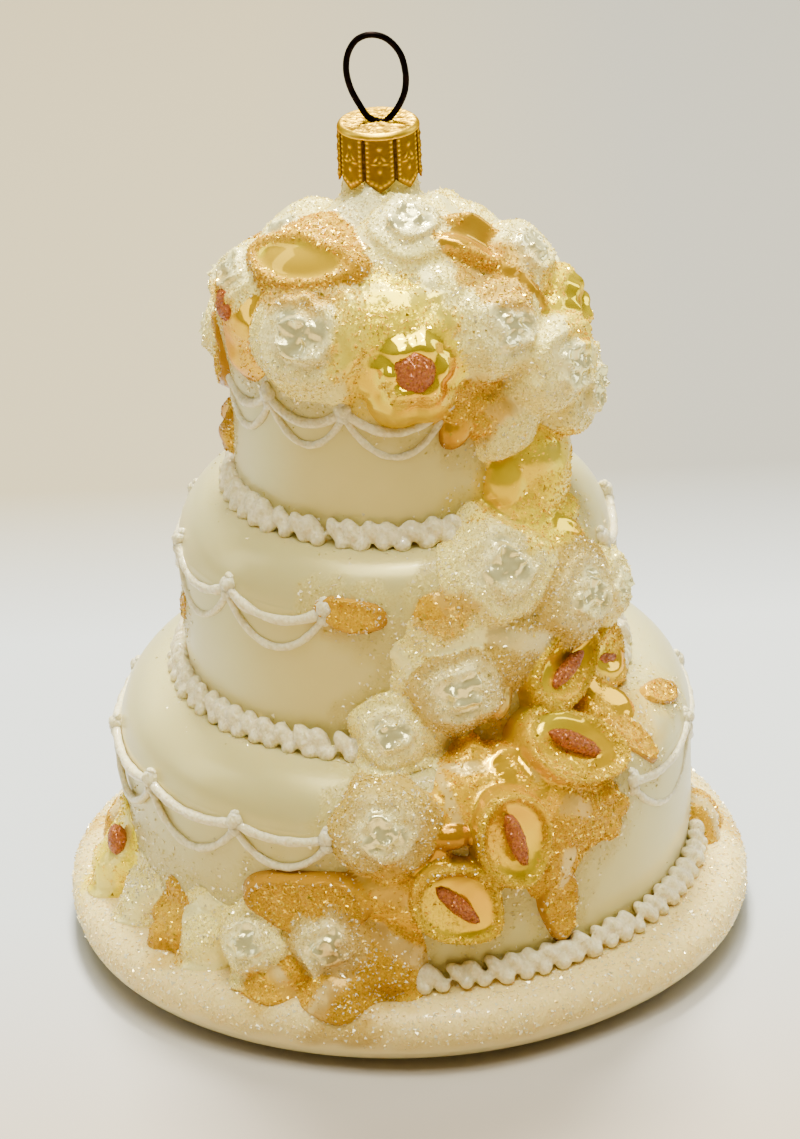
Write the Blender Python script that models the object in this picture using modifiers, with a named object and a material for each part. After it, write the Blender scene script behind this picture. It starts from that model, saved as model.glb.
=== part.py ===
"""Blown glass tree ornament in the shape of a three-tier wedding cake on its board.

The cake is one glass body: a turned form whose moulded flowers, leaves and piped icing are fused to it.
A stamped metal crown cap sits on its neck, and a wire loop stands in the cap.
Metres, +Z up. The origin is the centre of the face that the cake rests on, and its front faces -Y.
Azimuths are in degrees from the front, positive towards +X.
"""

import math

import bmesh
import bpy
from mathutils import Matrix, Vector

MM = 0.001
TURN = 2 * math.pi

# Driving dimensions, in millimetres
BOARD_RADIUS = 55.8
BOARD_TOP = 11.2
REST_RADIUS = 45.0
TIER_RADII = (46.0, 34.3, 24.6)  # bottom, middle and top tier
SHOULDERS = (36.0, 68.0, 100.0)  # height at which each wall turns in
FEET = (BOARD_TOP, 45.6, 77.2)  # height at which each wall starts
CROWN_RADIUS = 26.4  # the flowers' cushion above the top tier
CROWN_HEIGHT = 108.5
NECK_RADIUS = 5.9
NECK_TOP = 135.0
NECK_FOOT = 127.2

CAP_RADIUS = 6.6
CAP_WALL = 0.4
CAP_TOP = 137.0
CAP_SKIRT = 129.4  # height of the notches between the skirt's points
CAP_POINT = 1.9  # how far each point hangs below the notches
CAP_PANELS = 8
CAP_FLUTE = 0.22  # depth of the grooves between panels
CAP_EDGE = 0.9  # rounding of the cap's top edge

WIRE_RADIUS = 0.5
LOOP_TOP = 151.3
LOOP_HALF_WIDTH = 4.4
LEG_SPREAD = 1.6  # half the distance between the wire's legs
LEG_HOLE = 0.9
LEG_END = 135.2

# Piping: for each tier, how many swags go round it, and the azimuth of one knob
SWAGS = ((16, -15.0), (12, -19.4), (10, -16.4))
SWAG_LINKS = 3
KNOB_DROP = (-0.9, -2.1, 0.2)  # height of the knobs below each shoulder
UPPER_SAG = (2.2, 2.9, 4.0)
LOWER_SAG = (5.6, 6.0, 5.8)
LOWER_START = 0.8  # how far below the knobs' middles the lower strands start
STRAND_RADIUS = 1.1
STRAND_SINK = 0.3  # how far inside the wall a strand's middle lies
KNOB_SHARE = 1.5

# Piped borders at each tier's foot
BEADS = (66, 50, 36)  # beads round the bottom, middle and top tier
BEAD_RADIUS = 2.2
BEAD_WAIST = 0.6

CAKE_SIDES = 36
KEPT_FACES = 0.84  # share of the fused mesh's triangles that is kept
SKIRT = 0.55  # a flower's root goes this share of its radius into the glass, and at least ROOT
ROOT = 3.0


def clear_scene():
    for obj in list(bpy.data.objects):
        bpy.data.objects.remove(obj, do_unlink=True)


def finish(name, colour, roughness, metallic=0.0):
    """A Principled BSDF in one colour."""
    material = bpy.data.materials.new(name)
    material.use_nodes = True
    shader = material.node_tree.nodes["Principled BSDF"]
    shader.inputs["Base Color"].default_value = (*colour, 1.0)
    shader.inputs["Roughness"].default_value = roughness
    shader.inputs["Metallic"].default_value = metallic
    return material


def link(name, mesh, collection):
    obj = bpy.data.objects.new(name, mesh)
    collection.objects.link(obj)
    return obj


def baked(obj, name, collection):
    """The evaluated shape of obj as a plain mesh object, with obj itself removed."""
    bpy.context.view_layer.update()
    graph = bpy.context.evaluated_depsgraph_get()
    mesh = bpy.data.meshes.new_from_object(obj.evaluated_get(graph))
    made = link(name, mesh, collection)
    made.matrix_world = obj.matrix_world
    bpy.data.objects.remove(obj, do_unlink=True)
    shape = bmesh.new()
    shape.from_mesh(mesh)
    bmesh.ops.remove_doubles(shape, verts=shape.verts, dist=0.001 * MM)
    bmesh.ops.recalc_face_normals(shape, faces=shape.faces)
    shape.to_mesh(mesh)
    shape.free()
    return made


# --- The turned cake -------------------------------------------------------------------------


def tier_profile(tier):
    """(radius, height) points up one tier: its wall, then a pillowy shoulder in to the next tier's foot."""
    radius, foot, shoulder = TIER_RADII[tier], FEET[tier], SHOULDERS[tier]
    inner, top = TIER_RADII[tier + 1] + 0.6, FEET[tier + 1]
    points = [(radius - 0.5, foot + 1.8), (radius, shoulder)]
    for step in (1, 2, 3):
        bend = step / 3 * math.pi / 2
        points.append(
            (
                inner + (radius - inner) * math.cos(bend) ** 0.8,
                shoulder + (top - shoulder) * math.sin(bend) ** 1.15,
            )
        )
    return points


def cake_profile():
    """(radius, height) points from the centre of the underside, round the board's rim, to the neck's end."""
    board = [
        (REST_RADIUS, 0.0),
        (BOARD_RADIUS - 3.6, 1.6),
        (BOARD_RADIUS - 0.4, 4.4),
        (BOARD_RADIUS, 6.6),
        (BOARD_RADIUS - 1.6, 8.8),
        (TIER_RADII[0] + 3.0, BOARD_TOP - 0.6),
    ]
    crown = [
        (TIER_RADII[2] - 0.3, FEET[2] + 1.8),
        (TIER_RADII[2], SHOULDERS[2] - 2.0),
        (CROWN_RADIUS, CROWN_HEIGHT - 3.5),
        (CROWN_RADIUS - 1.2, CROWN_HEIGHT + 5.0),
        (CROWN_RADIUS - 6.0, CROWN_HEIGHT + 10.5),
        (CROWN_RADIUS - 13.5, CROWN_HEIGHT + 15.2),
        (NECK_RADIUS + 1.6, NECK_FOOT - 1.4),
        (NECK_RADIUS, NECK_FOOT),
        (NECK_RADIUS, NECK_TOP),
    ]
    return board + tier_profile(0) + tier_profile(1) + crown


def radius_at(height):
    """The turned cake's radius at a height above its board."""
    points = [p for p in cake_profile() if p[1] >= 6.6]
    for (r0, z0), (r1, z1) in zip(points, points[1:]):
        if z0 <= height <= z1:
            return r0 + (r1 - r0) * (height - z0) / max(z1 - z0, 1e-6)
    return points[0][0] if height < points[0][1] else points[-1][0]


def turned_cake(collection):
    """The profile runs down the outer side, as the Screw modifier needs it."""
    outline = [(0.0, NECK_TOP)] + cake_profile()[::-1] + [(0.0, 0.0)]
    shape = bmesh.new()
    points = [shape.verts.new((r * MM, 0.0, z * MM)) for r, z in outline]
    for a, b in zip(points, points[1:]):
        shape.edges.new((a, b))
    mesh = bpy.data.meshes.new("turned_cake")
    shape.to_mesh(mesh)
    shape.free()
    profile = link("turned_cake_profile", mesh, collection)
    screw = profile.modifiers.new("turn", "SCREW")
    screw.steps = screw.render_steps = CAKE_SIDES
    screw.use_merge_vertices = True
    screw.merge_threshold = 0.01 * MM
    return baked(profile, "turned_cake", collection)


# --- Flowers and leaves ----------------------------------------------------------------------
# Each kind maps (share of the way out, angle) to a point in radii: across, up, and out of the glass.


def rose(share, angle):
    """A domed bloom whose petals step down from a turned bud."""
    petals = 0.07 * math.cos(3 * angle + 5 * share) * share
    reach = share * (1.0 + petals)
    height = 0.62 * (1 - share**2.4) - 0.10 * math.exp(-(((share - 0.55) / 0.12) ** 2))
    return reach * math.cos(angle), reach * math.sin(angle), height + petals * 0.6


def daffodil(share, angle):
    """Six petals round a raised trumpet with a filled mouth."""
    reach = share * (1.0 + 0.16 * math.cos(6 * angle) * (share > 0.6))
    trumpet = 0.42 * math.exp(-(((share - 0.36) / 0.14) ** 2))
    height = 0.30 * (1 - share**2) + trumpet
    return reach * math.cos(angle), reach * math.sin(angle), height


def calla(share, angle):
    """An oval funnel with a rolled rim, open towards one side, and its spadix standing inside."""
    lean = 0.16 * math.sin(angle) * share
    funnel = 0.55 * share**1.6 if share < 0.8 else 0.42 * (1 - share) / 0.2
    spadix = 0.34 * math.exp(-((share / 0.2) ** 2))
    tip = 1.0 + 0.10 * max(0.0, math.cos(angle)) ** 8
    across, up = share * tip * math.cos(angle), 0.82 * share * math.sin(angle)
    return across, up, 0.22 + funnel + spadix + lean


def leaf(share, angle):
    """A pointed leaf, three times as long as wide, with a raised rib."""
    width = 0.36 * (1.0 - 0.25 * math.cos(angle) * share)
    across, up = share * math.cos(angle), width * share * math.sin(angle)
    return across, up, 0.11 * (1 - share**2) + 0.05


def petal(share, angle):
    """A broad, cupped petal."""
    across, up = share * math.cos(angle), 0.68 * share * math.sin(angle)
    return across, up, 0.26 * (1 - share**2) + 0.10 * share * math.cos(angle)


def blossom(share, angle):
    """Five small petals round a bud."""
    reach = share * (1.0 + 0.16 * math.cos(5 * angle) * share)
    height = 0.34 * (1 - share**2) + 0.12 * math.exp(-((share / 0.25) ** 2))
    return reach * math.cos(angle), reach * math.sin(angle), height


# kind: (its shape, facets round it, rings from its middle to its edge)
KINDS = {
    "rose": (rose, 8, 3),
    "daffodil": (daffodil, 12, 3),
    "calla": (calla, 9, 3),
    "leaf": (leaf, 6, 2),
    "petal": (petal, 7, 2),
    "blossom": (blossom, 8, 2),
}

# (kind, azimuth, height, radius, tilt of its face above level, turn of its length) in degrees and mm
CROWN = [
    ("rose", 16, 124.0, 5.6, 55, 0),
    ("rose", -59, 115.5, 5.2, 38, 40),
    ("rose", -22, 109.5, 7.4, 20, 10),
    ("rose", -42, 122.5, 4.2, 52, 0),
    ("rose", 39, 111.0, 6.8, 25, 80),
    ("rose", 79, 97.0, 7.4, 8, 30),
    ("rose", 69, 118.0, 5.2, 42, 0),
    ("daffodil", 8, 108.0, 8.4, 18, 15),
    ("daffodil", -64, 108.5, 6.2, 14, 0),
    ("daffodil", 83, 107.0, 6.2, 18, 20),
    ("petal", -28, 121.0, 7.4, 48, 155),
    ("petal", 47, 121.0, 6.4, 48, 115),
    ("leaf", 50, 115.0, 7.0, 34, 150),
    ("petal", 28, 100.0, 5.2, 6, 165),
    ("leaf", 24, 95.6, 3.8, 0, 60),
    ("petal", -84, 99.0, 4.8, 6, 80),
    ("leaf", -90, 87.0, 6.0, 4, 70),
    ("rose", 112, 108.0, 7.0, 18, 20),
    ("daffodil", 138, 106.5, 7.4, 16, 30),
    ("rose", 165, 110.5, 6.8, 22, 60),
    ("petal", 150, 119.5, 7.0, 45, 30),
    ("petal", -165, 100.5, 6.0, 6, 10),
    ("rose", -164, 117.0, 5.4, 38, 0),
    ("daffodil", -150, 107.0, 7.6, 16, 10),
    ("rose", -118, 110.5, 7.0, 20, 45),
    ("petal", -112, 120.0, 6.6, 45, 140),
    ("rose", -101, 101.0, 5.0, 8, 0),
    ("rose", 112, 120.0, 5.0, 44, 0),
]
CASCADE = [
    ("daffodil", 56, 83.5, 8.2, 16, 20),
    ("rose", 28, 74.6, 8.6, 24, 15),
    ("rose", 53, 65.6, 7.8, 14, 50),
    ("rose", 14, 56.5, 7.0, 14, 0),
    ("petal", 23, 64.0, 7.2, 6, 10),
    ("petal", -2, 48.6, 5.8, 35, 120),
    ("rose", -4, 38.6, 7.9, 18, 20),
    ("calla", 36, 45.2, 7.4, 34, -38),
    ("calla", 21, 36.0, 7.6, 14, -80),
    ("calla", 9, 26.0, 6.8, 8, -45),
    ("calla", 47, 53.0, 6.0, 22, 20),
    ("calla", 67, 49.6, 5.0, 30, 75),
    ("petal", 57, 42.4, 4.8, 40, -40),
    ("petal", 74, 43.4, 4.6, 44, -20),
    ("blossom", 9, 38.0, 4.4, 18, 0),
    ("blossom", 17, 44.6, 4.8, 34, 30),
    ("blossom", 37, 34.0, 6.2, 6, 0),
    ("blossom", 49, 31.5, 4.6, 2, 20),
    ("leaf", 30, 21.4, 7.6, 0, 96),
    ("leaf", -21, 25.0, 11.0, 0, 4),
    ("petal", -4, 24.8, 5.6, 4, 160),
    ("rose", -31, 16.6, 6.2, 24, 0),
    ("petal", -15, 18.4, 7.0, 14, 30),
    ("blossom", -9, 14.4, 6.4, 22, 0),
    ("blossom", -28, 11.4, 4.8, 50, 20),
    ("petal", -13, 9.6, 6.0, 60, 75),
]
SPRAYS = [
    ("leaf", -15.6, 69.2, 4.9, 22, 175),
    ("petal", 11, 68.4, 4.8, 16, 10),
    ("leaf", -78, 59.4, 3.6, 2, 60),
    ("daffodil", -81, 13.2, 6.6, 32, 0),
    ("leaf", -52, 11.2, 5.4, 40, 60),
    ("petal", -104, 9.4, 4.4, 66, 30),
    ("petal", 94, 10.4, 5.4, 60, 80),
    ("leaf", 102, 58.0, 4.0, 2, 120),
]
BACK_SPRAY = [
    ("daffodil", 172, 82.5, 8.0, 16, 20),
    ("rose", -164, 74.0, 8.6, 24, 15),
    ("rose", -178, 62.5, 7.8, 14, 50),
    ("petal", 164, 66.0, 7.2, 10, 10),
    ("calla", -160, 56.0, 7.4, 22, -38),
    ("rose", 174, 46.5, 8.2, 26, 0),
    ("calla", -168, 38.0, 7.8, 14, -80),
    ("rose", 168, 31.0, 7.6, 12, 30),
    ("blossom", -157, 27.0, 6.6, 6, 0),
    ("calla", 178, 20.0, 7.4, 16, -60),
    ("leaf", 156, 21.0, 9.0, 4, 20),
    ("rose", -164, 14.8, 6.6, 26, 20),
    ("petal", 164, 12.6, 7.0, 40, 60),
]


def all_flowers():
    """Every flower and leaf: the bouquet on top, the cascade down the front and a smaller one at the back."""
    return CROWN + CASCADE + SPRAYS + BACK_SPRAY


def set_on_cake(point, azimuth, height, tilt, turn, size):
    """A point given in radii of a flower, turned on its face and wrapped round the cake."""
    across, up, out = (value * size for value in point)
    spin, face = math.radians(turn), math.radians(tilt)
    side = across * math.cos(spin) - up * math.sin(spin)
    rise = across * math.sin(spin) + up * math.cos(spin)
    stand = radius_at(height)
    bearing = math.radians(azimuth) + side / stand
    radius = stand - rise * math.sin(face) + out * math.cos(face)
    level = height + rise * math.cos(face) + out * math.sin(face)
    return Vector((radius * math.sin(bearing), -radius * math.cos(bearing), level)) * MM


def fused_flower(name, row, collection):
    """A ball whose upper rings take the flower's shape and whose lower rings root it in the glass."""
    kind, azimuth, height, size, tilt, turn = row
    form, facets, rings = KINDS[kind]
    depth = max(SKIRT, ROOT / size)
    ball = bmesh.new()
    bmesh.ops.create_uvsphere(ball, u_segments=facets, v_segments=rings + 2, radius=1.0)
    for vert in ball.verts:
        row_index = round(math.acos(max(-1.0, min(1.0, vert.co.z))) / math.pi * (rings + 2))
        angle = math.atan2(vert.co.y, vert.co.x) if 0 < row_index < rings + 2 else 0.0
        if row_index <= rings:
            point = form(row_index / rings, angle)
        else:
            point = form(0.8, angle) if row_index == rings + 1 else (0.0, 0.0, 0.0)
            point = (point[0], point[1], -depth)
        vert.co = set_on_cake(point, azimuth, height, tilt, turn, size)
    bmesh.ops.recalc_face_normals(ball, faces=ball.faces)
    mesh = bpy.data.meshes.new(name)
    ball.to_mesh(mesh)
    ball.free()
    return link(name, mesh, collection)


# --- Piping ----------------------------------------------------------------------------------


def piped_ring(name, points, thickness, roll, collection):
    """A closed string of icing through (radius, bearing, height, share of the thickness) points."""
    data = bpy.data.curves.new(name, "CURVE")
    data.dimensions = "3D"
    data.twist_mode = "Z_UP"
    data.bevel_depth = thickness * MM
    data.bevel_resolution = 0
    data.use_fill_caps = True
    spline = data.splines.new("POLY")
    spline.points.add(len(points) - 1)
    spline.use_cyclic_u = True
    for point, (radius, bearing, level, share) in zip(spline.points, points):
        place = Vector((radius * math.sin(bearing), -radius * math.cos(bearing), level)) * MM
        point.co = (*place, 1.0)
        point.radius = share
        point.tilt = math.radians(roll)
    return baked(link(name + "_line", data, collection), name, collection)


def swags(tier, start, sag, knob_share, collection):
    """Drooping links right round a tier's shoulder, from a start below the knobs' height."""
    count, first = SWAGS[tier]
    top = SHOULDERS[tier] - KNOB_DROP[tier] - start
    points = []
    for index in range(count * SWAG_LINKS):
        step = index % SWAG_LINKS
        level = top - sag * math.sin(math.pi * step / SWAG_LINKS)
        share = knob_share if step == 0 else 1.0
        bearing = math.radians(first) + TURN * index / (count * SWAG_LINKS)
        points.append((radius_at(level) - STRAND_SINK - 0.1 * start, bearing, level, share))
    return piped_ring(f"swags_{tier}_{sag}", points, STRAND_RADIUS, 0.0, collection)


def bead_border(tier, collection):
    """A row of beads in the corner at a tier's foot."""
    count = BEADS[tier]
    points = []
    for index in range(2 * count):
        share = 1.0 if index % 2 == 0 else BEAD_WAIST
        bearing = TURN * index / (2 * count)
        points.append((TIER_RADII[tier] - 0.2, bearing, FEET[tier] + 0.5, share))
    return piped_ring(f"beads_{tier}", points, BEAD_RADIUS, 45.0, collection)


# --- The three nodes -------------------------------------------------------------------------


def glass_cake(parts, glass):
    """The turned cake with everything on it fused by one union."""
    toppings = bpy.data.collections.new("toppings")
    bpy.context.scene.collection.children.link(toppings)
    for index, row in enumerate(all_flowers()):
        fused_flower(f"flower_{index}", row, toppings)
    for tier in range(3):
        swags(tier, 0.0, UPPER_SAG[tier], KNOB_SHARE, toppings)
        swags(tier, LOWER_START, LOWER_SAG[tier], 1.0, toppings)
        bead_border(tier, toppings)
    cake = turned_cake(parts)
    fuse = cake.modifiers.new("fuse", "BOOLEAN")
    fuse.operation = "UNION"
    fuse.operand_type = "COLLECTION"
    fuse.collection = toppings
    thin = cake.modifiers.new("thin out slivers", "DECIMATE")
    thin.ratio = KEPT_FACES
    made = baked(cake, "glass_cake", parts)
    for obj in list(toppings.objects):
        bpy.data.objects.remove(obj, do_unlink=True)
    bpy.data.collections.remove(toppings)
    made.data.materials.clear()
    made.data.materials.append(glass)
    made.data.shade_smooth()
    made.data.set_sharp_from_angle(angle=math.radians(35))
    return made


def cap_ring(shape, radius, height, sides):
    """One ring of the cap, fluted into panels. A point's height may depend on its angle."""
    ring = []
    for index in range(sides):
        angle = TURN * index / sides
        groove = abs(math.sin(angle * CAP_PANELS / 2))
        r = radius - (CAP_FLUTE * (1 - groove) ** 2 if radius > CAP_RADIUS * 0.9 else 0.0)
        z = height(angle) if callable(height) else height
        ring.append(shape.verts.new((r * math.sin(angle) * MM, -r * math.cos(angle) * MM, z * MM)))
    return ring


def skirt_edge(angle):
    """The skirt's lower edge: a point under the middle of each panel."""
    across = (angle * CAP_PANELS / TURN) % 1.0
    return CAP_SKIRT - CAP_POINT * (1 - abs(2 * across - 1)) ** 0.8


def crown_cap(parts, brass):
    """A stamped cup over the neck: its outer side, then back up its inner side."""
    sides = CAP_PANELS * 6
    inner = CAP_RADIUS - CAP_WALL
    rows = [
        (CAP_RADIUS - 2.4, CAP_TOP),
        (CAP_RADIUS - CAP_EDGE, CAP_TOP),
        (CAP_RADIUS - 0.2, CAP_TOP - 0.5 * CAP_EDGE),
        (CAP_RADIUS, CAP_TOP - 1.3 * CAP_EDGE),
        (CAP_RADIUS, skirt_edge),
        (inner, skirt_edge),
        (inner, CAP_TOP - CAP_WALL),
    ]
    shape = bmesh.new()
    rings = [cap_ring(shape, radius, height, sides) for radius, height in rows]
    for lower, upper in zip(rings, rings[1:]):
        for i in range(sides):
            j = (i + 1) % sides
            shape.faces.new((lower[i], lower[j], upper[j], upper[i]))
    shape.faces.new(rings[0])
    shape.faces.new(rings[-1])
    bmesh.ops.triangulate(shape, faces=shape.faces)
    bmesh.ops.recalc_face_normals(shape, faces=shape.faces)
    mesh = bpy.data.meshes.new("crown_cap")
    shape.to_mesh(mesh)
    shape.free()
    cap = link("crown_cap_blank", mesh, parts)
    for side in (-1, 1):
        cap_hole(cap, side, parts)
    made = baked(cap, "crown_cap", parts)
    for obj in [o for o in parts.objects if o.name.startswith("leg_hole")]:
        bpy.data.objects.remove(obj, do_unlink=True)
    made.data.materials.append(brass)
    made.data.shade_smooth()
    made.data.set_sharp_from_angle(angle=math.radians(35))
    return made


def cap_hole(cap, side, parts):
    """A hole in the cap's top for one leg of the wire."""
    shape = bmesh.new()
    bmesh.ops.create_cone(
        shape, cap_ends=True, segments=10, radius1=LEG_HOLE * MM, radius2=LEG_HOLE * MM, depth=4 * MM
    )
    mesh = bpy.data.meshes.new("leg_hole")
    shape.to_mesh(mesh)
    shape.free()
    cutter = link(f"leg_hole_{side}", mesh, parts)
    cutter.location = (side * LEG_SPREAD * MM, 0.0, CAP_TOP * MM)
    cutter.hide_render = True
    cutter.display_type = "WIRE"
    cut = cap.modifiers.new("leg hole", "BOOLEAN")
    cut.operation = "DIFFERENCE"
    cut.object = cutter


def loop_line():
    """Points along the wire: up from one leg, round an egg-shaped loop, and down the other."""
    low = CAP_TOP + 1.6
    top = LOOP_TOP - WIRE_RADIUS
    middle, half = (low + top) / 2, (top - low) / 2
    steps = 26
    start = math.radians(26)
    points = [(-LEG_SPREAD, LEG_END), (-LEG_SPREAD, CAP_TOP + 0.3)]
    for step in range(steps + 1):
        angle = start + (TURN - 2 * start) * step / steps
        widen = LOOP_HALF_WIDTH * (1.0 - 0.10 * math.cos(angle))
        points.append((-widen * math.sin(angle), middle - half * math.cos(angle)))
    points += [(LEG_SPREAD, CAP_TOP + 0.3), (LEG_SPREAD, LEG_END)]
    return points


def wire_loop(parts, steel):
    data = bpy.data.curves.new("hanging_loop", "CURVE")
    data.dimensions = "3D"
    data.bevel_depth = WIRE_RADIUS * MM
    data.bevel_resolution = 2
    data.use_fill_caps = True
    line = loop_line()
    spline = data.splines.new("POLY")
    spline.points.add(len(line) - 1)
    for point, (across, level) in zip(spline.points, line):
        point.co = (across * MM, 0.0, level * MM, 1.0)
    made = baked(link("hanging_loop_line", data, parts), "hanging_loop", parts)
    made.data.materials.append(steel)
    made.data.shade_smooth()
    made.data.set_sharp_from_angle(angle=math.radians(60))
    return made


def main():
    clear_scene()
    parts = bpy.data.collections.new("wedding_cake_ornament")
    bpy.context.scene.collection.children.link(parts)
    glass_cake(parts, finish("pearl_lacquered_glass", (0.78, 0.74, 0.60), 0.35))
    crown_cap(parts, finish("gilt_tinplate", (0.76, 0.50, 0.14), 0.3, 1.0))
    wire_loop(parts, finish("browned_steel_wire", (0.05, 0.03, 0.02), 0.35, 1.0))


main()
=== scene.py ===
"""The looks of a blown glass tree ornament shaped as a wedding cake: lacquer, flowers, glitter and piping."""

import math

import bmesh
import bpy
import numpy as np
from mathutils import Matrix, Vector
from mathutils.kdtree import KDTree


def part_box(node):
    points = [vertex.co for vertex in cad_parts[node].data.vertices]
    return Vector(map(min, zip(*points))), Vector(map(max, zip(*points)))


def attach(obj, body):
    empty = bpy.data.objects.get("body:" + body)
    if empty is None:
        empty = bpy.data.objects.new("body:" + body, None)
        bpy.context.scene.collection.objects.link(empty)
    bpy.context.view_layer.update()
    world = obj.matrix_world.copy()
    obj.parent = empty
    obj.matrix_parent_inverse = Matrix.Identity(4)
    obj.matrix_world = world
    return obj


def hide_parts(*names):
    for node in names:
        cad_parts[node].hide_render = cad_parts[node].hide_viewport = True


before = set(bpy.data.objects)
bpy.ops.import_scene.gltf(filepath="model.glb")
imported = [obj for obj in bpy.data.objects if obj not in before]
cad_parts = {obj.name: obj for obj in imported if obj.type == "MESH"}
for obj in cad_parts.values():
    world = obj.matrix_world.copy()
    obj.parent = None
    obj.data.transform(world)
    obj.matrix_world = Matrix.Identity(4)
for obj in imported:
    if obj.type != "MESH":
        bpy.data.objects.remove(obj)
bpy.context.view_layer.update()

MM = 0.001
TURN = 2 * math.pi

# --- Sizes in millimetres; azimuths in degrees from the front, positive towards +X -------------------

BOARD_RADIUS = 1000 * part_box("glass_cake")[1].x
BOARD_TOP = 11.2
REST_RADIUS = 45.0
TIER_RADII = (46.0, 34.3, 24.6)
SHOULDERS = (36.0, 68.0, 100.0)
FEET = (BOARD_TOP, 45.6, 77.2)
CROWN_RADIUS = 26.4
CROWN_HEIGHT = 108.5
NECK_RADIUS = 5.9
NECK_TOP = 135.0
NECK_FOOT = 127.2

CAP_RADIUS = 6.5
CAP_WALL = 0.4
CAP_TOP = 137.0
CAP_SKIRT = 129.4
CAP_POINT = 1.9
CAP_PANELS = 8
CAP_ROUNDING = 0.9
CAP_GROOVE = 0.20
CAP_RELIEF = 0.18

WIRE_RADIUS = 0.5
LEG_SPREAD = 2.1

# Knobs where the piped swags meet, by azimuth, for the bottom, middle and top tier
KNOBS = (
    (-85.7, -60.3, -35.2, -15.6, 4, 27, 50, 78, 103, 127, 151, 175, 199, 224, 249),
    (-81, -49.5, -19.4, 11, 41, 71, 100, 129, 158, 188, 218, 248),
    (-83, -47.4, -16.4, 19.9, 54, 88, 122, 156, 190, 224, 252),
)
# Between these azimuths flowers lie on the tier, and no swags or no border are piped under them
SWAGS_STOP = ((-15.6, 50), (-19.4, 71), (19.9, 88))
BORDERS_STOP = ((-98, -1), (4, 62), (32, 74))
KNOB_LEVELS = (36.9, 70.1, 99.8)
UPPER_SAG = (1.6, 2.9, 3.4)
LOWER_SAG = (6.0, 6.6, 6.2)
UPPER_STRAND = 0.8
LOWER_STRAND = 0.62
KNOB_RADIUS = 1.4

BEAD_PITCH = 3.2
BEAD_RADIUS = 1.5

# A flower's rings and facets, how deep its root is in the glass, and how far those on the crown's right side
# hang over, most at one azimuth and height and less a spread away
RINGS, FACETS = 26, 64
ROOT = 2.6
OVERHANG = 4.6
OVERHANG_AT = (68, 98)
OVERHANG_SPREAD = (24, 12)

# Skin this far inside the bare cake, straight or aslant, is out of sight and left out
BURIED = 1.3
BURIED_ASLANT = 0.9

# How far the crown sagged, how far behind the centre it starts, and the heights between which it goes
SAG = 7.0
SAG_BEHIND = (-5.0, 9.0)
SAG_FROM = (105.0, 121.0)
SAG_TO = (125.5, 128.5)

# The cake's lacquer, and the yellower, thicker coat on its board, also painted paler as painted light on the
# board's rim
PEARL = "#CDC17A"
BOARD_PEARL_PAINTED_PALER = "#F8E09A"

VOXEL = 0.42
FLAKES = 34000


# --- Colour and shader helpers ------------------------------------------------------------------------


def srgb(code):
    """A colour written as sRGB hex, as linear red, green and blue."""
    channels = [int(code[i : i + 2], 16) / 255 for i in (1, 3, 5)]
    return tuple(c / 12.92 if c <= 0.04045 else ((c + 0.055) / 1.055) ** 2.4 for c in channels)


def opaque(code):
    """A colour written as sRGB hex, as linear red, green, blue and full alpha."""
    return (*srgb(code), 1.0)


def new_material(name):
    material = bpy.data.materials.new(name)
    material.use_nodes = True
    tree = material.node_tree
    return material, tree, tree.nodes["Principled BSDF"]


def fill(tree, node, inputs):
    """Sets a node's inputs, by name or number, to values, or links them to other nodes' outputs."""
    for name, value in inputs.items():
        if isinstance(value, bpy.types.NodeSocket):
            tree.links.new(value, node.inputs[name])
        else:
            node.inputs[name].default_value = value


def add(tree, kind, inputs=None, **settings):
    """A shader node with its inputs and settings."""
    node = tree.nodes.new("ShaderNode" + kind)
    for name, value in settings.items():
        setattr(node, name, value)
    fill(tree, node, inputs or {})
    return node


def cells_apart(tree, spacing):
    """Cells a given number of millimetres apart, for crystals too fine to model."""
    place = add(tree, "TexCoord").outputs["Object"]
    return add(tree, "TexVoronoi", {"Vector": place, "Scale": 1 / (spacing * MM)})


def blotches(tree, size, between, gives=(0.0, 1.0), detail=3.0):
    """Cloudy blotches about size millimetres across: noise between two values, stretched to give two others."""
    place = add(tree, "TexCoord").outputs["Object"]
    noise = add(tree, "TexNoise", {"Vector": place, "Scale": 1 / (size * MM), "Detail": detail})
    ends = {"From Min": between[0], "From Max": between[1], "To Min": gives[0], "To Max": gives[1]}
    return add(tree, "MapRange", {"Value": noise.outputs["Fac"], **ends}).outputs["Result"]


def glitter_normal(tree, spacing, strength):
    """Each crystal faces its own way: the cells' colours turn the normal by up to strength."""
    cells = cells_apart(tree, spacing).outputs["Color"]
    centred = add(tree, "VectorMath", {0: cells, 1: (0.5, 0.5, 0.5)}, operation="SUBTRACT").outputs[0]
    turned = add(tree, "VectorMath", {0: centred, "Scale": strength}, operation="SCALE").outputs[0]
    facing = add(tree, "NewGeometry").outputs["Normal"]
    total = add(tree, "VectorMath", {0: facing, 1: turned}, operation="ADD").outputs[0]
    return add(tree, "VectorMath", {0: total}, operation="NORMALIZE").outputs[0]


# --- Mesh helpers -------------------------------------------------------------------------------------


def mesh_object(name, points, faces, smooth=True):
    """A mesh from an array of points in millimetres and an array of triangles or quads."""
    mesh = bpy.data.meshes.new(name)
    mesh.vertices.add(len(points))
    mesh.vertices.foreach_set("co", (np.asarray(points) * MM).ravel())
    corners = faces.shape[1]
    mesh.loops.add(faces.size)
    mesh.loops.foreach_set("vertex_index", faces.ravel().astype(np.int32))
    mesh.polygons.add(len(faces))
    mesh.polygons.foreach_set("loop_start", np.arange(0, faces.size, corners, dtype=np.int32))
    mesh.update(calc_edges=True)
    mesh.validate()
    mesh.polygons.foreach_set("use_smooth", np.full(len(mesh.polygons), smooth))
    made = bpy.data.objects.new(name, mesh)
    bpy.context.scene.collection.objects.link(made)
    return made


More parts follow.
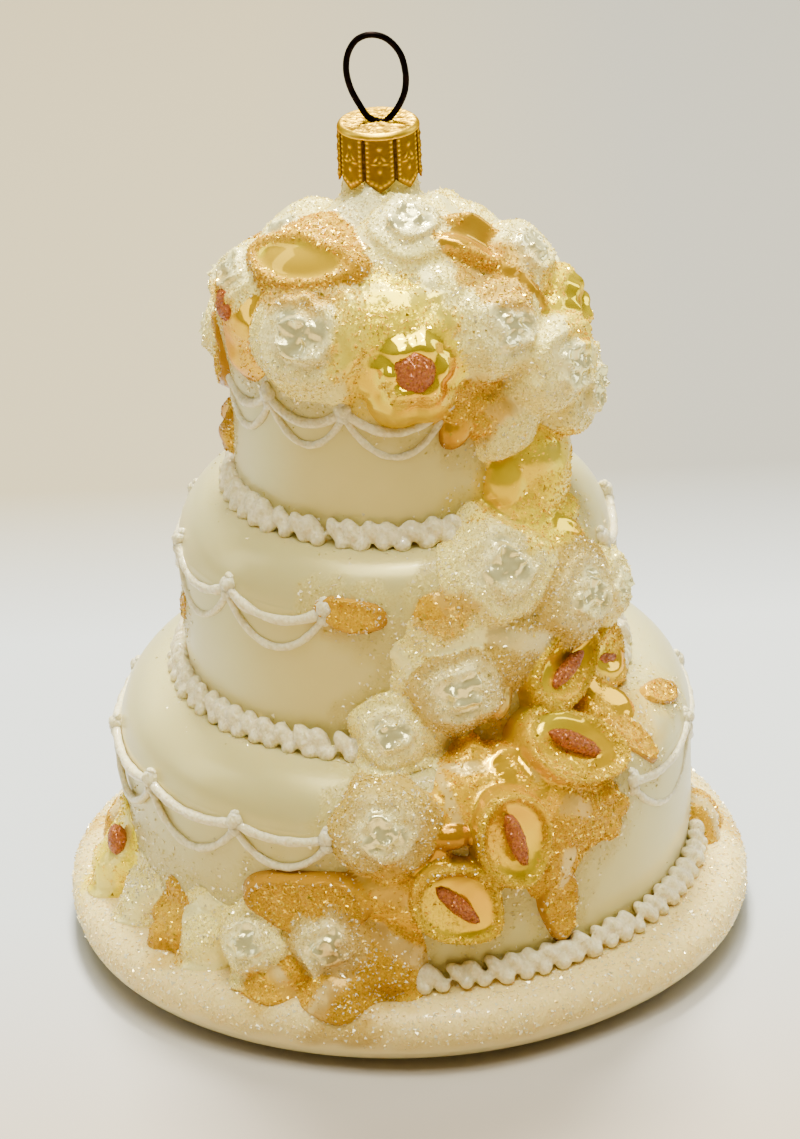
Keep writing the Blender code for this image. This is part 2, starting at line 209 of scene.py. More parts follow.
def points_of(mesh):
    flat = np.empty(len(mesh.vertices) * 3)
    mesh.vertices.foreach_get("co", flat)
    return flat.reshape(-1, 3) / MM


def triangles_of(mesh):
    mesh.calc_loop_triangles()
    flat = np.empty(len(mesh.loop_triangles) * 3, dtype=np.int32)
    mesh.loop_triangles.foreach_get("vertices", flat)
    return flat.reshape(-1, 3)


def write_value(mesh, name, values):
    attribute = mesh.attributes.new(name, "FLOAT", "POINT")
    attribute.data.foreach_set("value", np.asarray(values, dtype=np.float32))


def write_colour(mesh, name, colours):
    attribute = mesh.attributes.new(name, "FLOAT_COLOR", "POINT")
    full = np.ones((len(colours), 4), dtype=np.float32)
    full[:, :3] = colours
    attribute.data.foreach_set("color", full.ravel())


def joined(parts):
    """One (points, faces) pair from several."""
    offset, points, faces = 0, [], []
    for some_points, some_faces in parts:
        points.append(some_points)
        faces.append(some_faces + offset)
        offset += len(some_points)
    return np.vstack(points), np.vstack(faces)


def ripple(points, size, seed, waves=14):
    """Smooth random waves about size millimetres apart, between about -1 and 1."""
    dice = np.random.default_rng(seed)
    heading = dice.normal(size=(waves, 3))
    heading /= np.linalg.norm(heading, axis=1)[:, None]
    heading *= TURN / size * dice.uniform(0.6, 1.6, (waves, 1))
    phase = dice.uniform(0, TURN, waves)
    return np.sin(points @ heading.T + phase).sum(axis=1) / math.sqrt(waves)


def smoothstep(low, high, value):
    share = np.clip((value - low) / (high - low), 0, 1)
    return share * share * (3 - 2 * share)


def grid_faces(rows, columns):
    """Quads of a grid that closes on itself along its columns."""
    row, column = np.meshgrid(np.arange(rows - 1), np.arange(columns), indexing="ij")
    beside = (column + 1) % columns
    quads = [row * columns + column, row * columns + beside]
    quads += [(row + 1) * columns + beside, (row + 1) * columns + column]
    return np.stack(quads, axis=-1).reshape(-1, 4)


def tube_faces(rows, columns):
    """Triangles of a grid of rings, closed at its first and last ring by two points that follow the rings."""
    quads = grid_faces(rows, columns)
    around = np.arange(columns)
    beside = (around + 1) % columns
    last = (rows - 1) * columns
    first_end = np.stack([beside, around, 0 * around + rows * columns], axis=-1)
    last_end = np.stack([last + around, last + beside, 0 * around + rows * columns + 1], axis=-1)
    return np.vstack([quads[:, [0, 1, 2]], quads[:, [0, 2, 3]], first_end, last_end])


def finder(points):
    """A tree that finds the nearest of some points."""
    tree = KDTree(len(points))
    for index, point in enumerate(points):
        tree.insert(point, index)
    tree.balance()
    return tree


# --- The cake's outline -------------------------------------------------------------------------------


def smooth_line(points, spans=8):
    """A Catmull-Rom line through points."""
    p = np.array(points, dtype=float)
    p = np.vstack([2 * p[0] - p[1], p, 2 * p[-1] - p[-2]])
    t = np.linspace(0, 1, spans, endpoint=False)[:, None]
    pieces = []
    for a, b, c, d in zip(p, p[1:], p[2:], p[3:]):
        pieces.append(
            0.5 * (2 * b + (c - a) * t + (2 * a - 5 * b + 4 * c - d) * t**2 + (3 * b - a - 3 * c + d) * t**3)
        )
    return np.vstack(pieces + [p[-2:-1]])


def tier_outline(tier):
    """A wall, then a pillowy shoulder in to the next tier's foot."""
    radius, foot, shoulder = TIER_RADII[tier], FEET[tier], SHOULDERS[tier]
    inner, top = TIER_RADII[tier + 1] + 0.6, FEET[tier + 1]
    points = [(radius - 0.5, foot + 1.8), (radius - 0.1, foot + 8), (radius, shoulder - 8), (radius, shoulder)]
    for step in range(1, 9):
        bend = step / 8 * math.pi / 2
        across = inner + (radius - inner) * math.cos(bend) ** 0.8
        points.append((across, shoulder + (top - shoulder) * math.sin(bend) ** 1.15))
    return points


def cake_outline():
    """(radius, height) from the centre of the underside to the end of the neck."""
    board = [(0, 0), (20, 0), (REST_RADIUS - 2, 0), (REST_RADIUS + 2, 0.15), (BOARD_RADIUS - 3.6, 1.6)]
    for step in range(7):
        bend = math.radians(-42 + 22 * step)
        board.append((BOARD_RADIUS - 4.4 + 4.4 * math.cos(bend), 6.2 + 4.4 * math.sin(bend) * 0.95))
    board += [(TIER_RADII[0] + 3.0, BOARD_TOP - 0.6), (TIER_RADII[0] + 0.6, BOARD_TOP + 0.2)]
    crown = [
        (TIER_RADII[2] - 0.3, FEET[2] + 1.8),
        (TIER_RADII[2] - 0.1, 88.0),
        (TIER_RADII[2], SHOULDERS[2] - 3.0),
        (CROWN_RADIUS - 0.4, CROWN_HEIGHT - 4.0),
        (CROWN_RADIUS, CROWN_HEIGHT),
        (CROWN_RADIUS - 1.2, CROWN_HEIGHT + 5.0),
        (CROWN_RADIUS - 6.0, CROWN_HEIGHT + 10.5),
        (CROWN_RADIUS - 13.5, CROWN_HEIGHT + 15.2),
        (NECK_RADIUS + 1.6, NECK_FOOT - 1.4),
        (NECK_RADIUS, NECK_FOOT),
        (NECK_RADIUS, NECK_FOOT + 3),
        (NECK_RADIUS, NECK_TOP),
    ]
    return smooth_line(board + tier_outline(0) + tier_outline(1) + crown, 4)


OUTLINE = cake_outline()
UPPER = OUTLINE[np.argmax(OUTLINE[:, 0]) :]
HEIGHTS, RADII = np.maximum.accumulate(UPPER[:, 1] + np.arange(len(UPPER)) * 1e-6), UPPER[:, 0]


def radius_at(height):
    """The turned cake's radius at a height above its board's widest ring."""
    return np.interp(height, HEIGHTS, RADII)


def on_wall(azimuth, level, proud=0.0):
    """Points standing proud of the wall, from arrays of azimuths in degrees and heights."""
    bearing = np.radians(azimuth)
    radius = radius_at(level) + proud
    return np.stack([radius * np.sin(bearing), -radius * np.cos(bearing), level + 0 * bearing], axis=-1)


# --- Flowers and leaves -------------------------------------------------------------------------------
# A form takes arrays of the share of the way out (0 to 1) and the angle, and gives the outline's reach at
# each angle as (across, up) factors and the height out of the glass, all in flower radii. A paint takes the
# same arrays and gives colour, frost (1 is covered with glitter) and gilt (1 is bare mirror lacquer).


def flare(share, start=0.72):
    """Falls to nothing at the rim, where the glass sinks back into the wall."""
    return 1 - smoothstep(start, 1.0, share)


def rose_form(share, angle, lot):
    outline = 1 + 0.05 * np.cos(4 * angle + lot) + 0.03 * np.cos(7 * angle + 2 * lot)
    whorl = (3.2 * share**0.8 - angle / TURN + 0.37 * lot + 0.06 * np.sin(4 * angle)) % 1.0
    crest = 0.17 * whorl**2 * smoothstep(0.05, 0.2, share) * (1 - 0.6 * smoothstep(0.5, 0.9, share))
    crinkle = 0.05 * np.sin(5 * angle + 13 * share + lot) * np.exp(-((share / 0.45) ** 2))
    dome = 0.48 * np.maximum(1 - share**2, 0) ** 0.72 + 0.06 * (1 - share)
    return outline, outline, dome + crest + crinkle


def mound_form(share, angle, lot):
    outline = 1 + 0.10 * np.cos(3 * angle + lot) + 0.06 * np.cos(5 * angle + 2 * lot)
    folds = 0.05 * np.cos(5 * share * np.cos(angle + lot) + lot) * (1 - share)
    return outline, outline, 0.30 * np.maximum(1 - share**2, 0) ** 1.1 + folds


def daffodil_form(share, angle, lot):
    notch = np.abs(np.cos(3 * angle + lot))
    outline = 0.90 + 0.14 * notch**0.7
    petals = (0.12 + 0.08 * notch) * flare(share, 0.7)
    collar = 0.24 * np.exp(-(((share - 0.40 - 0.02 * np.cos(5 * angle + lot)) / 0.15) ** 2))
    floor = 0.22 * (1 - smoothstep(0.2, 0.5, share))
    return outline, outline, petals + collar + floor


def calla_form(share, angle, lot):
    tip = 0.18 * np.maximum(0, np.cos(angle)) ** 5
    across, up = 1 + tip, 0.82 + 0.04 * np.cos(2 * angle + lot)
    lean = 1 + 0.22 * np.cos(angle + 2.4)
    bowl = 0.24 + 0.10 * share**2
    rim = 0.13 * np.exp(-(((share - 0.81) / 0.08) ** 2))
    return across, up, (bowl + rim) * lean * flare(share, 0.86)


def lily_form(share, angle, lot):
    across = 1 + 0.10 * np.cos(2 * angle)
    up = 0.72 + 0.22 * np.maximum(0, np.sin(angle)) ** 3
    hood = 0.44 * np.maximum(1 - share**2, 0) ** 0.6
    lip = 0.10 * np.exp(-(((lily_window(share, angle) - 1.15) / 0.22) ** 2))
    return across, up, hood + lip


def lily_window(share, angle):
    """1 at the edge of the bare blister under the lily's hood, less inside it."""
    return np.hypot(share * np.cos(angle) / 0.62, (share * np.sin(angle) + 0.20) / 0.42)


def ribbon_form(share, angle, lot):
    across, up = 1.0, 0.5 + 0.08 * np.cos(3 * angle + lot)
    fold = 0.10 * np.cos(5 * share * np.sin(angle + 0.3) + lot) + 0.07 * np.cos(5 * share * np.cos(angle))
    return across, up, (0.26 + fold) * flare(share, 0.72)


def leaf_form(share, angle, lot):
    across, up = 1.0, 0.48 * (1 - 0.12 * np.cos(angle)) + 0.05 * np.cos(3 * angle + lot)
    edge = 0.05 * np.exp(-(((share - 0.80) / 0.09) ** 2))
    ripples = 0.02 * np.cos(14 * share * np.cos(angle) + lot)
    return across, up, (0.17 + ripples + edge) * flare(share, 0.8)


def petal_form(share, angle, lot):
    across = 1 + 0.12 * np.cos(angle)
    up = 0.70 + 0.08 * np.cos(3 * angle + lot)
    fold = 0.08 * np.cos(5 * share * np.cos(angle) + lot) * share
    cup = 0.20 + 0.10 * share * np.cos(angle)
    return across, up, (cup + fold) * flare(share, 0.66)


def blossom_form(share, angle, lot):
    notch = np.abs(np.cos(2.5 * angle + lot))
    outline = 0.82 + 0.22 * notch
    petals = (0.12 + 0.14 * notch * smoothstep(0.2, 0.55, share)) * flare(share, 0.7)
    bud = 0.16 * np.exp(-((share / 0.2) ** 2))
    return outline, outline, petals + bud


def bud_form(share, angle, lot):
    return 1.25, 0.8, 0.85 * np.sqrt(np.maximum(1 - share**2, 0))


LACQUER_CODES = {
    "white": "#FCEE8E",
    "silver": "#F6ECA8",
    "blush": "#CCAE50",
    "lemon": "#E8C400",
    "pale yellow": "#FCE20A",
    "gold": "#F2BE00",
    "olive gold": "#BE9C10",
    "peach": "#CE9C14",
    "pale peach": "#DEB430",
    "amber": "#AC7A12",
}
LACQUERS = {name: np.array(srgb(code)) for name, code in LACQUER_CODES.items()}


def fade(first, second, share):
    """From one lacquer to another, where a lacquer is a name or an array of colours."""
    first, second = (LACQUERS[c] if isinstance(c, str) else c for c in (first, second))
    share = np.asarray(share)[:, None]
    return first * (1 - share) + second * share


def rose_paint(share, angle, lot, lacquer):
    shade = smoothstep(0.25, 0.9, share)
    colour = fade("silver", lacquer, shade)
    bare = 1 - smoothstep(0.24, 0.44, share + 0.12 * np.sin(3 * angle + lot))
    streak = 0.5 * smoothstep(0.75, 0.95, np.sin(2 * angle + 7 * share + lot))
    return colour, 1 - np.maximum(0.9 * bare, streak), 0.7 * bare


def mound_paint(share, angle, lot, lacquer):
    bare = smoothstep(0.35, 0.8, np.sin(5 * share * np.sin(angle + lot) + 2 * lot))
    return fade(lacquer, "silver", 0.4 * bare), 1 - 0.8 * bare, 0.2 * bare


def daffodil_paint(share, angle, lot, lacquer):
    side = 0.5 + 0.5 * np.cos(angle + 2.4)
    colour = fade("pale yellow", lacquer, smoothstep(0.35, 0.75, side))
    cup = 1 - smoothstep(0.58, 0.68, share)
    colour = fade(colour, "gold", cup)
    sugared = smoothstep(0.35, 0.6, 1 - side + 0.2 * np.sin(4 * angle))
    drips = smoothstep(0.3, 0.8, -np.sin(angle + 0.5)) * np.exp(-(((share - 0.44) / 0.09) ** 2))
    return colour, np.maximum((1 - cup) * sugared, 0.9 * drips), 0.8 * cup


def calla_paint(share, angle, lot, lacquer):
    inside = 1 - smoothstep(0.64, 0.74, share)
    colour = fade("gold", "pale yellow", 0.35 + 0.35 * np.sin(angle + lot))
    colour = fade(colour, "olive gold", 0.8 * smoothstep(0.62, 0.72, share))
    rim = smoothstep(0.66, 0.74, share) * (1 - smoothstep(0.86, 0.94, share))
    pooled = 0.7 * inside * smoothstep(0.0, 0.7, -np.sin(angle + 0.4))
    return colour, np.maximum(0.95 * rim, pooled), 0.5 + 0.1 * inside


def lily_paint(share, angle, lot, lacquer):
    inside = 1 - smoothstep(0.85, 1.0, lily_window(share, angle))
    colour = fade(lacquer, "amber", 0.4 - 0.4 * np.sin(angle))
    return fade(colour, "pale yellow", inside), 1 - inside, 0.4 * inside


def ribbon_paint(share, angle, lot, lacquer):
    streak = 0.5 + 0.5 * np.cos(5 * share * np.sin(angle + 0.3) + lot)
    colour = fade("pale peach", lacquer, streak)
    return colour, smoothstep(0.55, 0.8, share + 0.2 * np.sin(4 * angle)), 0.55 + 0 * share


def leaf_paint(share, angle, lot, lacquer):
    colour = fade(lacquer, "amber", smoothstep(0.62, 0.84, share))
    return colour, 1 - 0.8 * smoothstep(0.72, 0.84, share), 0.1 + 0 * share


def petal_paint(share, angle, lot, lacquer):
    colour = fade(lacquer, "amber", 0.25 + 0.25 * np.sin(angle + lot))
    return colour, 0.7 * smoothstep(0.1, 0.8, np.sin(angle * 2 + lot)), 0.65 + 0 * share


def blossom_paint(share, angle, lot, lacquer):
    colour = fade("pale peach", lacquer, smoothstep(0.1, 0.7, share))
    return fade(colour, "amber", 0.5 * smoothstep(0.7, 1.0, share)), 1 + 0 * share, 0 * share


def bud_paint(share, angle, lot, lacquer):
    return fade(lacquer, lacquer, 0 * share), 0.1 + 0 * share, 0.5 + 0 * share


FORMS = {
    "rose": (rose_form, rose_paint),
    "mound": (mound_form, mound_paint),
    "daffodil": (daffodil_form, daffodil_paint),
    "calla": (calla_form, calla_paint),
    "lily": (lily_form, lily_paint),
    "ribbon": (ribbon_form, ribbon_paint),
    "leaf": (leaf_form, leaf_paint),
    "petal": (petal_form, petal_paint),
    "blossom": (blossom_form, blossom_paint),
    "bud": (bud_form, bud_paint),
}

# (kind, azimuth, height, radius, tilt of its face above level, turn of its length, lacquer)
CROWN = [
    ("rose", 16, 123.6, 7.6, 58, 0, "white"),
    ("mound", -18, 125.2, 5.0, 62, 0, "silver"),
    ("mound", 48, 124.4, 5.4, 60, 0, "white"),
    ("mound", -75, 123.0, 7.0, 54, 0, "white"),
    ("mound", 100, 123.0, 7.4, 54, 40, "white"),
    ("mound", -140, 123.0, 7.0, 54, 0, "white"),
    ("rose", -68, 115.5, 7.0, 38, 40, "white"),
    ("rose", -27, 111.6, 10.8, 24, 10, "white"),
    ("rose", -58, 121.5, 5.8, 52, 0, "white"),
    ("rose", 41, 109.8, 8.6, 26, 80, "white"),
    ("rose", 76, 94.5, 9.4, 6, 30, "white"),
    ("rose", 60, 101.0, 9.2, 12, 60, "white"),
    ("rose", 68, 117.0, 7.2, 42, 0, "white"),
    ("mound", 46, 94.5, 7.6, 4, 0, "white"),
    ("mound", 28, 116.5, 7.4, 42, 40, "white"),
    ("mound", -4, 121.5, 6.6, 52, 70, "white"),
    ("daffodil", 8, 106.6, 10.4, 16, 15, "lemon"),
    ("mound", 1, 115.0, 8.0, 38, 170, "pale yellow"),
    ("petal", -58, 108.4, 8.6, 20, 75, "gold"),
    ("daffodil", 78, 106.5, 8.4, 20, 20, "lemon"),
    ("lily", -38, 120.2, 10.4, 46, 6, "peach"),
    ("petal", -20, 119.5, 4.8, 46, -50, "peach"),
    ("ribbon", 42, 121.2, 9.4, 50, -40, "peach"),
    ("ribbon", 54, 113.4, 7.0, 34, -60, "peach"),
    ("blossom", 31, 98.6, 6.2, 8, 15, "peach"),
    ("bud", 23.5, 95.4, 3.2, 0, 65, "amber"),
    ("leaf", -84, 101.0, 7.4, 6, 80, "peach"),
    ("ribbon", -90, 87.0, 6.4, 4, 70, "amber"),
    ("rose", 112, 107.0, 8.4, 18, 20, "white"),
    ("daffodil", 138, 106.0, 8.8, 16, 30, "lemon"),
    ("rose", 165, 110.0, 8.2, 22, 60, "white"),
    ("lily", 150, 119.5, 7.4, 48, 30, "peach"),
    ("petal", -165, 100.0, 6.6, 6, 10, "peach"),
    ("rose", -164, 117.0, 6.2, 40, 0, "white"),
    ("daffodil", -146, 106.5, 8.8, 16, 10, "lemon"),
    ("rose", -118, 110.0, 8.4, 20, 45, "white"),
    ("lily", -112, 120.0, 7.0, 48, 140, "peach"),
    ("rose", -98, 102.0, 6.2, 8, 0, "white"),
    ("rose", 112, 119.4, 6.0, 46, 0, "white"),
    ("rose", 170, 121.4, 5.4, 52, 0, "white"),
    ("rose", 100, 97.0, 6.0, 6, 0, "white"),
]
CASCADE = [
    ("bud", 43, 84.0, 4.6, 6, 80, "gold"),
    ("mound", 60, 84.0, 10.5, 8, 20, "pale yellow"),
    ("mound", 50, 77.5, 7.6, 20, 70, "pale yellow"),
    ("petal", 56, 73.4, 5.4, 30, 100, "gold"),
    ("rose", 29, 74.2, 9.8, 24, 15, "white"),
    ("rose", 52, 65.6, 9.2, 14, 50, "blush"),
    ("rose", 70, 62.0, 7.2, 6, 0, "white"),
    ("rose", 14, 56.4, 8.8, 12, 0, "blush"),
    ("bud", 25, 52.6, 3.2, 14, 80, "blush"),
    ("mound", 30, 62.0, 9.0, 8, 10, "blush"),
    ("mound", 14, 66.0, 7.4, 14, 10, "white"),
    ("mound", 2, 50.5, 7.0, 24, 60, "white"),
    ("mound", 6, 60.0, 6.0, 6, 30, "white"),
    ("rose", -3, 48.4, 6.8, 30, 120, "white"),
    ("rose", -4.5, 38.4, 8.8, 14, 20, "blush"),
    ("petal", 24, 44.0, 7.0, 34, -60, "gold"),
    ("calla", 38, 44.6, 9.2, 30, -38, "gold"),
    ("calla", 20, 35.4, 8.6, 10, -76, "gold"),
    ("calla", 8.5, 25.8, 8.4, 6, -46, "gold"),
    ("calla", 45, 53.8, 8.2, 22, 20, "gold"),
    ("calla", 67, 49.4, 6.0, 30, 160, "gold"),
    ("petal", 56, 45.6, 6.4, 40, -70, "gold"),
    ("leaf", 55, 41.6, 6.2, 36, -60, "peach"),
    ("leaf", 73, 43.0, 5.4, 42, -25, "peach"),
    ("bud", 8.4, 36.8, 2.7, 8, 0, "amber"),
    ("mound", 10, 41.6, 4.6, 18, 0, "gold"),
    ("mound", 16, 45.0, 5.4, 34, 30, "gold"),
    ("petal", 4, 33.0, 5.2, 4, -50, "gold"),
    ("mound", 29, 40.0, 6.4, 14, 0, "gold"),
    ("mound", 34, 35.0, 7.4, 6, 60, "peach"),
    ("blossom", 42, 33.5, 5.4, 2, 20, "peach"),
    ("mound", 29, 28.5, 6.0, 2, 80, "peach"),
    ("leaf", 30, 21.0, 7.4, 0, -86, "peach"),
    ("leaf", -20, 25.4, 12.0, 0, 184, "peach"),
    ("mound", -3, 27.5, 7.0, 2, 30, "gold"),
    ("rose", -31, 15.8, 7.4, 26, 0, "white"),
    ("rose", -15, 18.4, 8.2, 14, 30, "blush"),
    ("mound", -7, 16.0, 8.4, 26, 70, "peach"),
    ("mound", -26, 11.6, 6.4, 50, 20, "peach"),
    ("mound", -13, 11.4, 7.4, 56, 75, "peach"),
    ("mound", -44, 14.0, 6.6, 40, 20, "white"),
]
SPRAYS = [
    ("leaf", -12.6, 69.4, 6.2, 16, 172, "peach"),
    ("mound", 11.6, 68.8, 4.8, 16, 10, "peach"),
    ("leaf", -78, 59.4, 3.6, 2, 60, "peach"),
    ("mound", -80, 15.0, 8.4, 38, 75, "pale yellow"),
    ("mound", -66, 13.0, 6.0, 42, 10, "white"),
    ("blossom", -53, 13.0, 6.0, 44, 70, "peach"),
    ("mound", -102, 12.0, 5.4, 56, 30, "peach"),
    ("mound", 92, 12.0, 6.2, 50, 80, "peach"),
    ("leaf", 102, 58.0, 4.0, 2, 120, "peach"),
]
BACK_SPRAY = [
    ("daffodil", 172, 82.5, 8.8, 16, 20, "lemon"),
    ("rose", -164, 74.0, 9.2, 24, 15, "white"),
    ("rose", -178, 62.5, 8.6, 14, 50, "blush"),
    ("petal", 164, 66.0, 7.2, 10, 10, "peach"),
    ("calla", -160, 56.0, 7.8, 22, -38, "gold"),
    ("rose", 174, 46.5, 8.8, 26, 0, "blush"),
    ("calla", -168, 38.0, 8.0, 14, -80, "gold"),
    ("rose", 168, 31.0, 8.2, 12, 30, "white"),
    ("blossom", -157, 27.0, 7.0, 6, 0, "peach"),
    ("calla", 178, 20.0, 7.8, 16, -60, "gold"),
    ("leaf", 156, 21.0, 9.6, 4, 20, "peach"),
    ("rose", -164, 14.8, 7.2, 26, 20, "white"),
    ("petal", 164, 12.6, 7.0, 40, 60, "peach"),
]

# Lacquer sprayed over glass and flowers: (azimuth, height, half width, half height, turn, lacquer, cover)
SPRAYED = [
    (2, 112.0, 10.0, 9.5, 0, "pale yellow", 0.8),
    (-5, 102.5, 4.6, 6.4, 20, "lemon", 0.95),
    (31, 98, 6.4, 5.8, 0, "peach", 0.8),
    (74, 108, 8.0, 9.5, 0, "pale yellow", 0.8),
    (-66, 109, 6.0, 8.0, 0, "gold", 0.6),
    (-36, 120, 9.0, 7.0, 0, "peach", 0.75),
    (46, 118, 8.0, 6.5, -40, "peach", 0.8),
    (54, 81, 12.0, 9.0, 0, "pale yellow", 0.75),
    (43, 84, 6.0, 5.0, 0, "lemon", 0.7),
    (12, 69, 5.0, 3.8, 0, "peach", 0.7),
    (-15.4, 69, 5.2, 3.4, 0, "peach", 0.5),
    (25, 44, 7.5, 8.5, 0, "gold", 0.6),
    (7, 36, 6.5, 6.5, 0, "amber", 0.5),
    (36, 35, 8.0, 7.5, 0, "peach", 0.5),
    (60, 45, 8.0, 7.0, 0, "gold", 0.5),
    (-4, 30, 6.0, 5.5, 20, "peach", 0.8),
    (-9, 16, 7.5, 9.5, 20, "amber", 0.65),
    (-13, 8.5, 6.5, 4.5, 0, "amber", 0.6),
    (-27, 11, 5.5, 5.0, 0, "peach", 0.8),
    (-50, 11, 4.2, 5.6, 30, "peach", 0.6),
    (-83, 13, 7.0, 8.0, 0, "pale yellow", 0.9),
    (-104, 9, 4.6, 4.0, 0, "peach", 0.8),
    (94, 10, 4.8, 5.4, 0, "peach", 0.8),
    (150, 10, 7.0, 7.0, 0, "peach", 0.7),
    (-160, 30, 8.0, 9.0, 0, "gold", 0.5),
]


def flower_point(side, rise, out, azimuth, height, tilt):
    """Millimetres across, up and out of a flower's face, as a point on the cake."""
    face = math.radians(tilt)
    stand = float(radius_at(height))
    bearing = math.radians(azimuth) + side / stand
    radius = stand - rise * math.sin(face) + out * math.cos(face)
    level = height + rise * math.cos(face) + out * math.sin(face)
    return np.stack([radius * np.sin(bearing), -radius * np.cos(bearing), level], axis=-1)


def glass_under(rise, height, tilt):
    """How far out the bare cake reaches under points of a flower's face."""
    face = math.radians(tilt)
    stand = float(radius_at(height))
    out = np.arange(-16.0, 16.0, 0.25)[:, None]
    radius = stand - rise[None, :] * math.sin(face) + out * math.cos(face)
    level = height + rise[None, :] * math.cos(face) + out * math.sin(face)
    inside = radius <= np.interp(level, HEIGHTS, RADII, left=BOARD_RADIUS, right=0.0)
    top = len(out) - 1 - np.argmax(inside[::-1], axis=0)
    return out[top, 0] + 0.12


def above_glass(azimuth, height, tilt, proud):
    """A point standing proud of the glass under the middle of a flower's face."""
    middle = np.zeros(1)
    return flower_point(middle, middle, glass_under(middle, height, tilt) + proud, azimuth, height, tilt)[0]


def polar_faces():
    """Triangles of a closed blob: its face's rings, its root and its underside."""
    quads = grid_faces(RINGS + 1, FACETS) + 1
    flat = np.vstack([quads[:, [0, 1, 2]], quads[:, [0, 2, 3]]])
    around = np.arange(FACETS)
    beside = (around + 1) % FACETS
    top = np.stack([0 * around, beside + 1, around + 1], axis=-1)
    last = 1 + RINGS * FACETS
    under = np.stack([0 * around + last + FACETS, last + around, last + beside], axis=-1)
    return np.vstack([top, flat[:, ::-1], under[:, ::-1]])


def flower(row, index):
    """Points, faces and paint of one flower, whose rim meets the wall and whose root is in the glass."""
    kind, azimuth, height, size, tilt, turn, lacquer = row
    form, paint = FORMS[kind]
    lot = 2.4 * index
    share = np.concatenate([[0.0], np.repeat(np.sin(np.arange(1, RINGS + 1) / RINGS * math.pi / 2), FACETS)])
    angle = np.concatenate([[0.0], np.tile(np.arange(FACETS) * TURN / FACETS, RINGS)])
    across, up, out = form(share, angle, lot)
    side, rise = size * across * share * np.cos(angle), size * up * share * np.sin(angle)
    spin = math.radians(turn)
    side, rise = side * math.cos(spin) - rise * math.sin(spin), side * math.sin(spin) + rise * math.cos(spin)
    glass = glass_under(rise, height, tilt)
    rim = glass[-FACETS:].mean()
    level = np.maximum(rim + (glass - rim) * smoothstep(0.5, 1.0, share), glass - 0.4 * size * out)
    beside, above = ((at - most) / spread for at, most, spread in zip(row[1:3], OVERHANG_AT, OVERHANG_SPREAD))
    overhang = OVERHANG * math.exp(-(beside**2) - above**2)
    lift = level + size * out - 0.15 * smoothstep(0.9, 1.0, share) + overhang * flare(share)
    face = flower_point(side, rise, lift, azimuth, height, tilt)
    root = flower_point(side[-FACETS:], rise[-FACETS:], glass[-FACETS:] - ROOT, azimuth, height, tilt)
    under = flower_point(np.zeros(1), np.zeros(1), np.array([glass.min() - ROOT]), azimuth, height, tilt)
    colour, frost, gilt = paint(share, angle, lot, lacquer)
    return np.vstack([face, root, under]), colour, frost, gilt


def sprayed_on(points, colour):
    """The colour of points once the soft-edged patches of lacquer are sprayed over them."""
    ragged = 0.16 * ripple(points, 6.0, 17) + 0.06 * ripple(points, 2.0, 18)
    for azimuth, height, wide, tall, turn, lacquer, cover in SPRAYED:
        away = points - on_wall(np.array([azimuth]), np.array([height]), 1.5)
        along, out, up = (away @ axis for axis in wall_axes(azimuth, turn))
        reach = np.sqrt((along / wide) ** 2 + (up / tall) ** 2 + (out / (1.2 * max(wide, tall))) ** 2)
        colour = fade(colour, lacquer, cover * (1 - smoothstep(0.72, 1.15, reach + ragged)))
    return colour


def flower_bed(name, rows, first):
    """Flowers blown in one skin: their blobs are melted together, and their paint is carried over."""
    faces = polar_faces()
    parts, colours, frosts, gilts, faces_shown = [], [], [], [], []
    for index, row in enumerate(rows):
        points, colour, frost, gilt = flower(row, first + index)
        parts.append((points, faces))
        faces_shown.append(points[: len(colour)])
        colours.append(colour)
        frosts.append(frost)
        gilts.append(gilt)
    bed = melted(name, *joined(parts), VOXEL, 3)
    mesh = bed.data
    painted = finder(np.vstack(faces_shown))
    nearest = np.array([painted.find(point)[1] for point in points_of(mesh)])
    colour = sprayed_on(points_of(mesh), np.vstack(colours)[nearest])
    yellow = smoothstep(0.5, 0.8, colour[:, 0] - 2.5 * colour[:, 2])
    write_colour(mesh, "paint", colour)
    write_value(mesh, "frost", np.concatenate(frosts)[nearest] * (1 - 0.5 * yellow))
    write_value(mesh, "gilt", np.maximum(np.concatenate(gilts)[nearest], 0.5 * yellow))
    mesh.materials.append(MATERIALS["flowers"])
    return bed


def melted(name, points, faces, voxel, softening):
    """Closed lumps that overlap, run together into one smooth skin."""
    raw = mesh_object(name + "_raw", points, faces)
    melt = raw.modifiers.new("melt", "REMESH")
    melt.mode = "VOXEL"
    melt.voxel_size = voxel * MM
    soften = raw.modifiers.new("soften", "SMOOTH")
    soften.factor = 0.5
    soften.iterations = softening
    mesh = bpy.data.meshes.new_from_object(raw.evaluated_get(bpy.context.evaluated_depsgraph_get()))
    bpy.data.objects.remove(raw, do_unlink=True)
    mesh.name = name
    leave_out_buried(mesh)
    mesh.polygons.foreach_set("use_smooth", np.full(len(mesh.polygons), True))
    skin = bpy.data.objects.new(name, mesh)
    bpy.context.scene.collection.objects.link(skin)
    return skin


def leave_out_buried(mesh):
    """Drops the part of a skin that lies well inside the bare cake."""
    points = points_of(mesh)
    radius, level = np.hypot(points[:, 0], points[:, 1]), points[:, 2]
    ways = ((BURIED, 0.0), (BURIED_ASLANT, BURIED_ASLANT), (0.0, BURIED), (BURIED_ASLANT, -BURIED_ASLANT))
    deep = np.logical_and.reduce([radius + out < radius_at(level + up) for out, up in ways])
    skin = bmesh.new()
    skin.from_mesh(mesh)
    skin.verts.ensure_lookup_table()
    bmesh.ops.delete(skin, geom=[skin.verts[index] for index in np.flatnonzero(deep)], context="VERTS")
    skin.to_mesh(mesh)
    skin.free()


# --- Materials ----------------------------------------------------------------------------------------


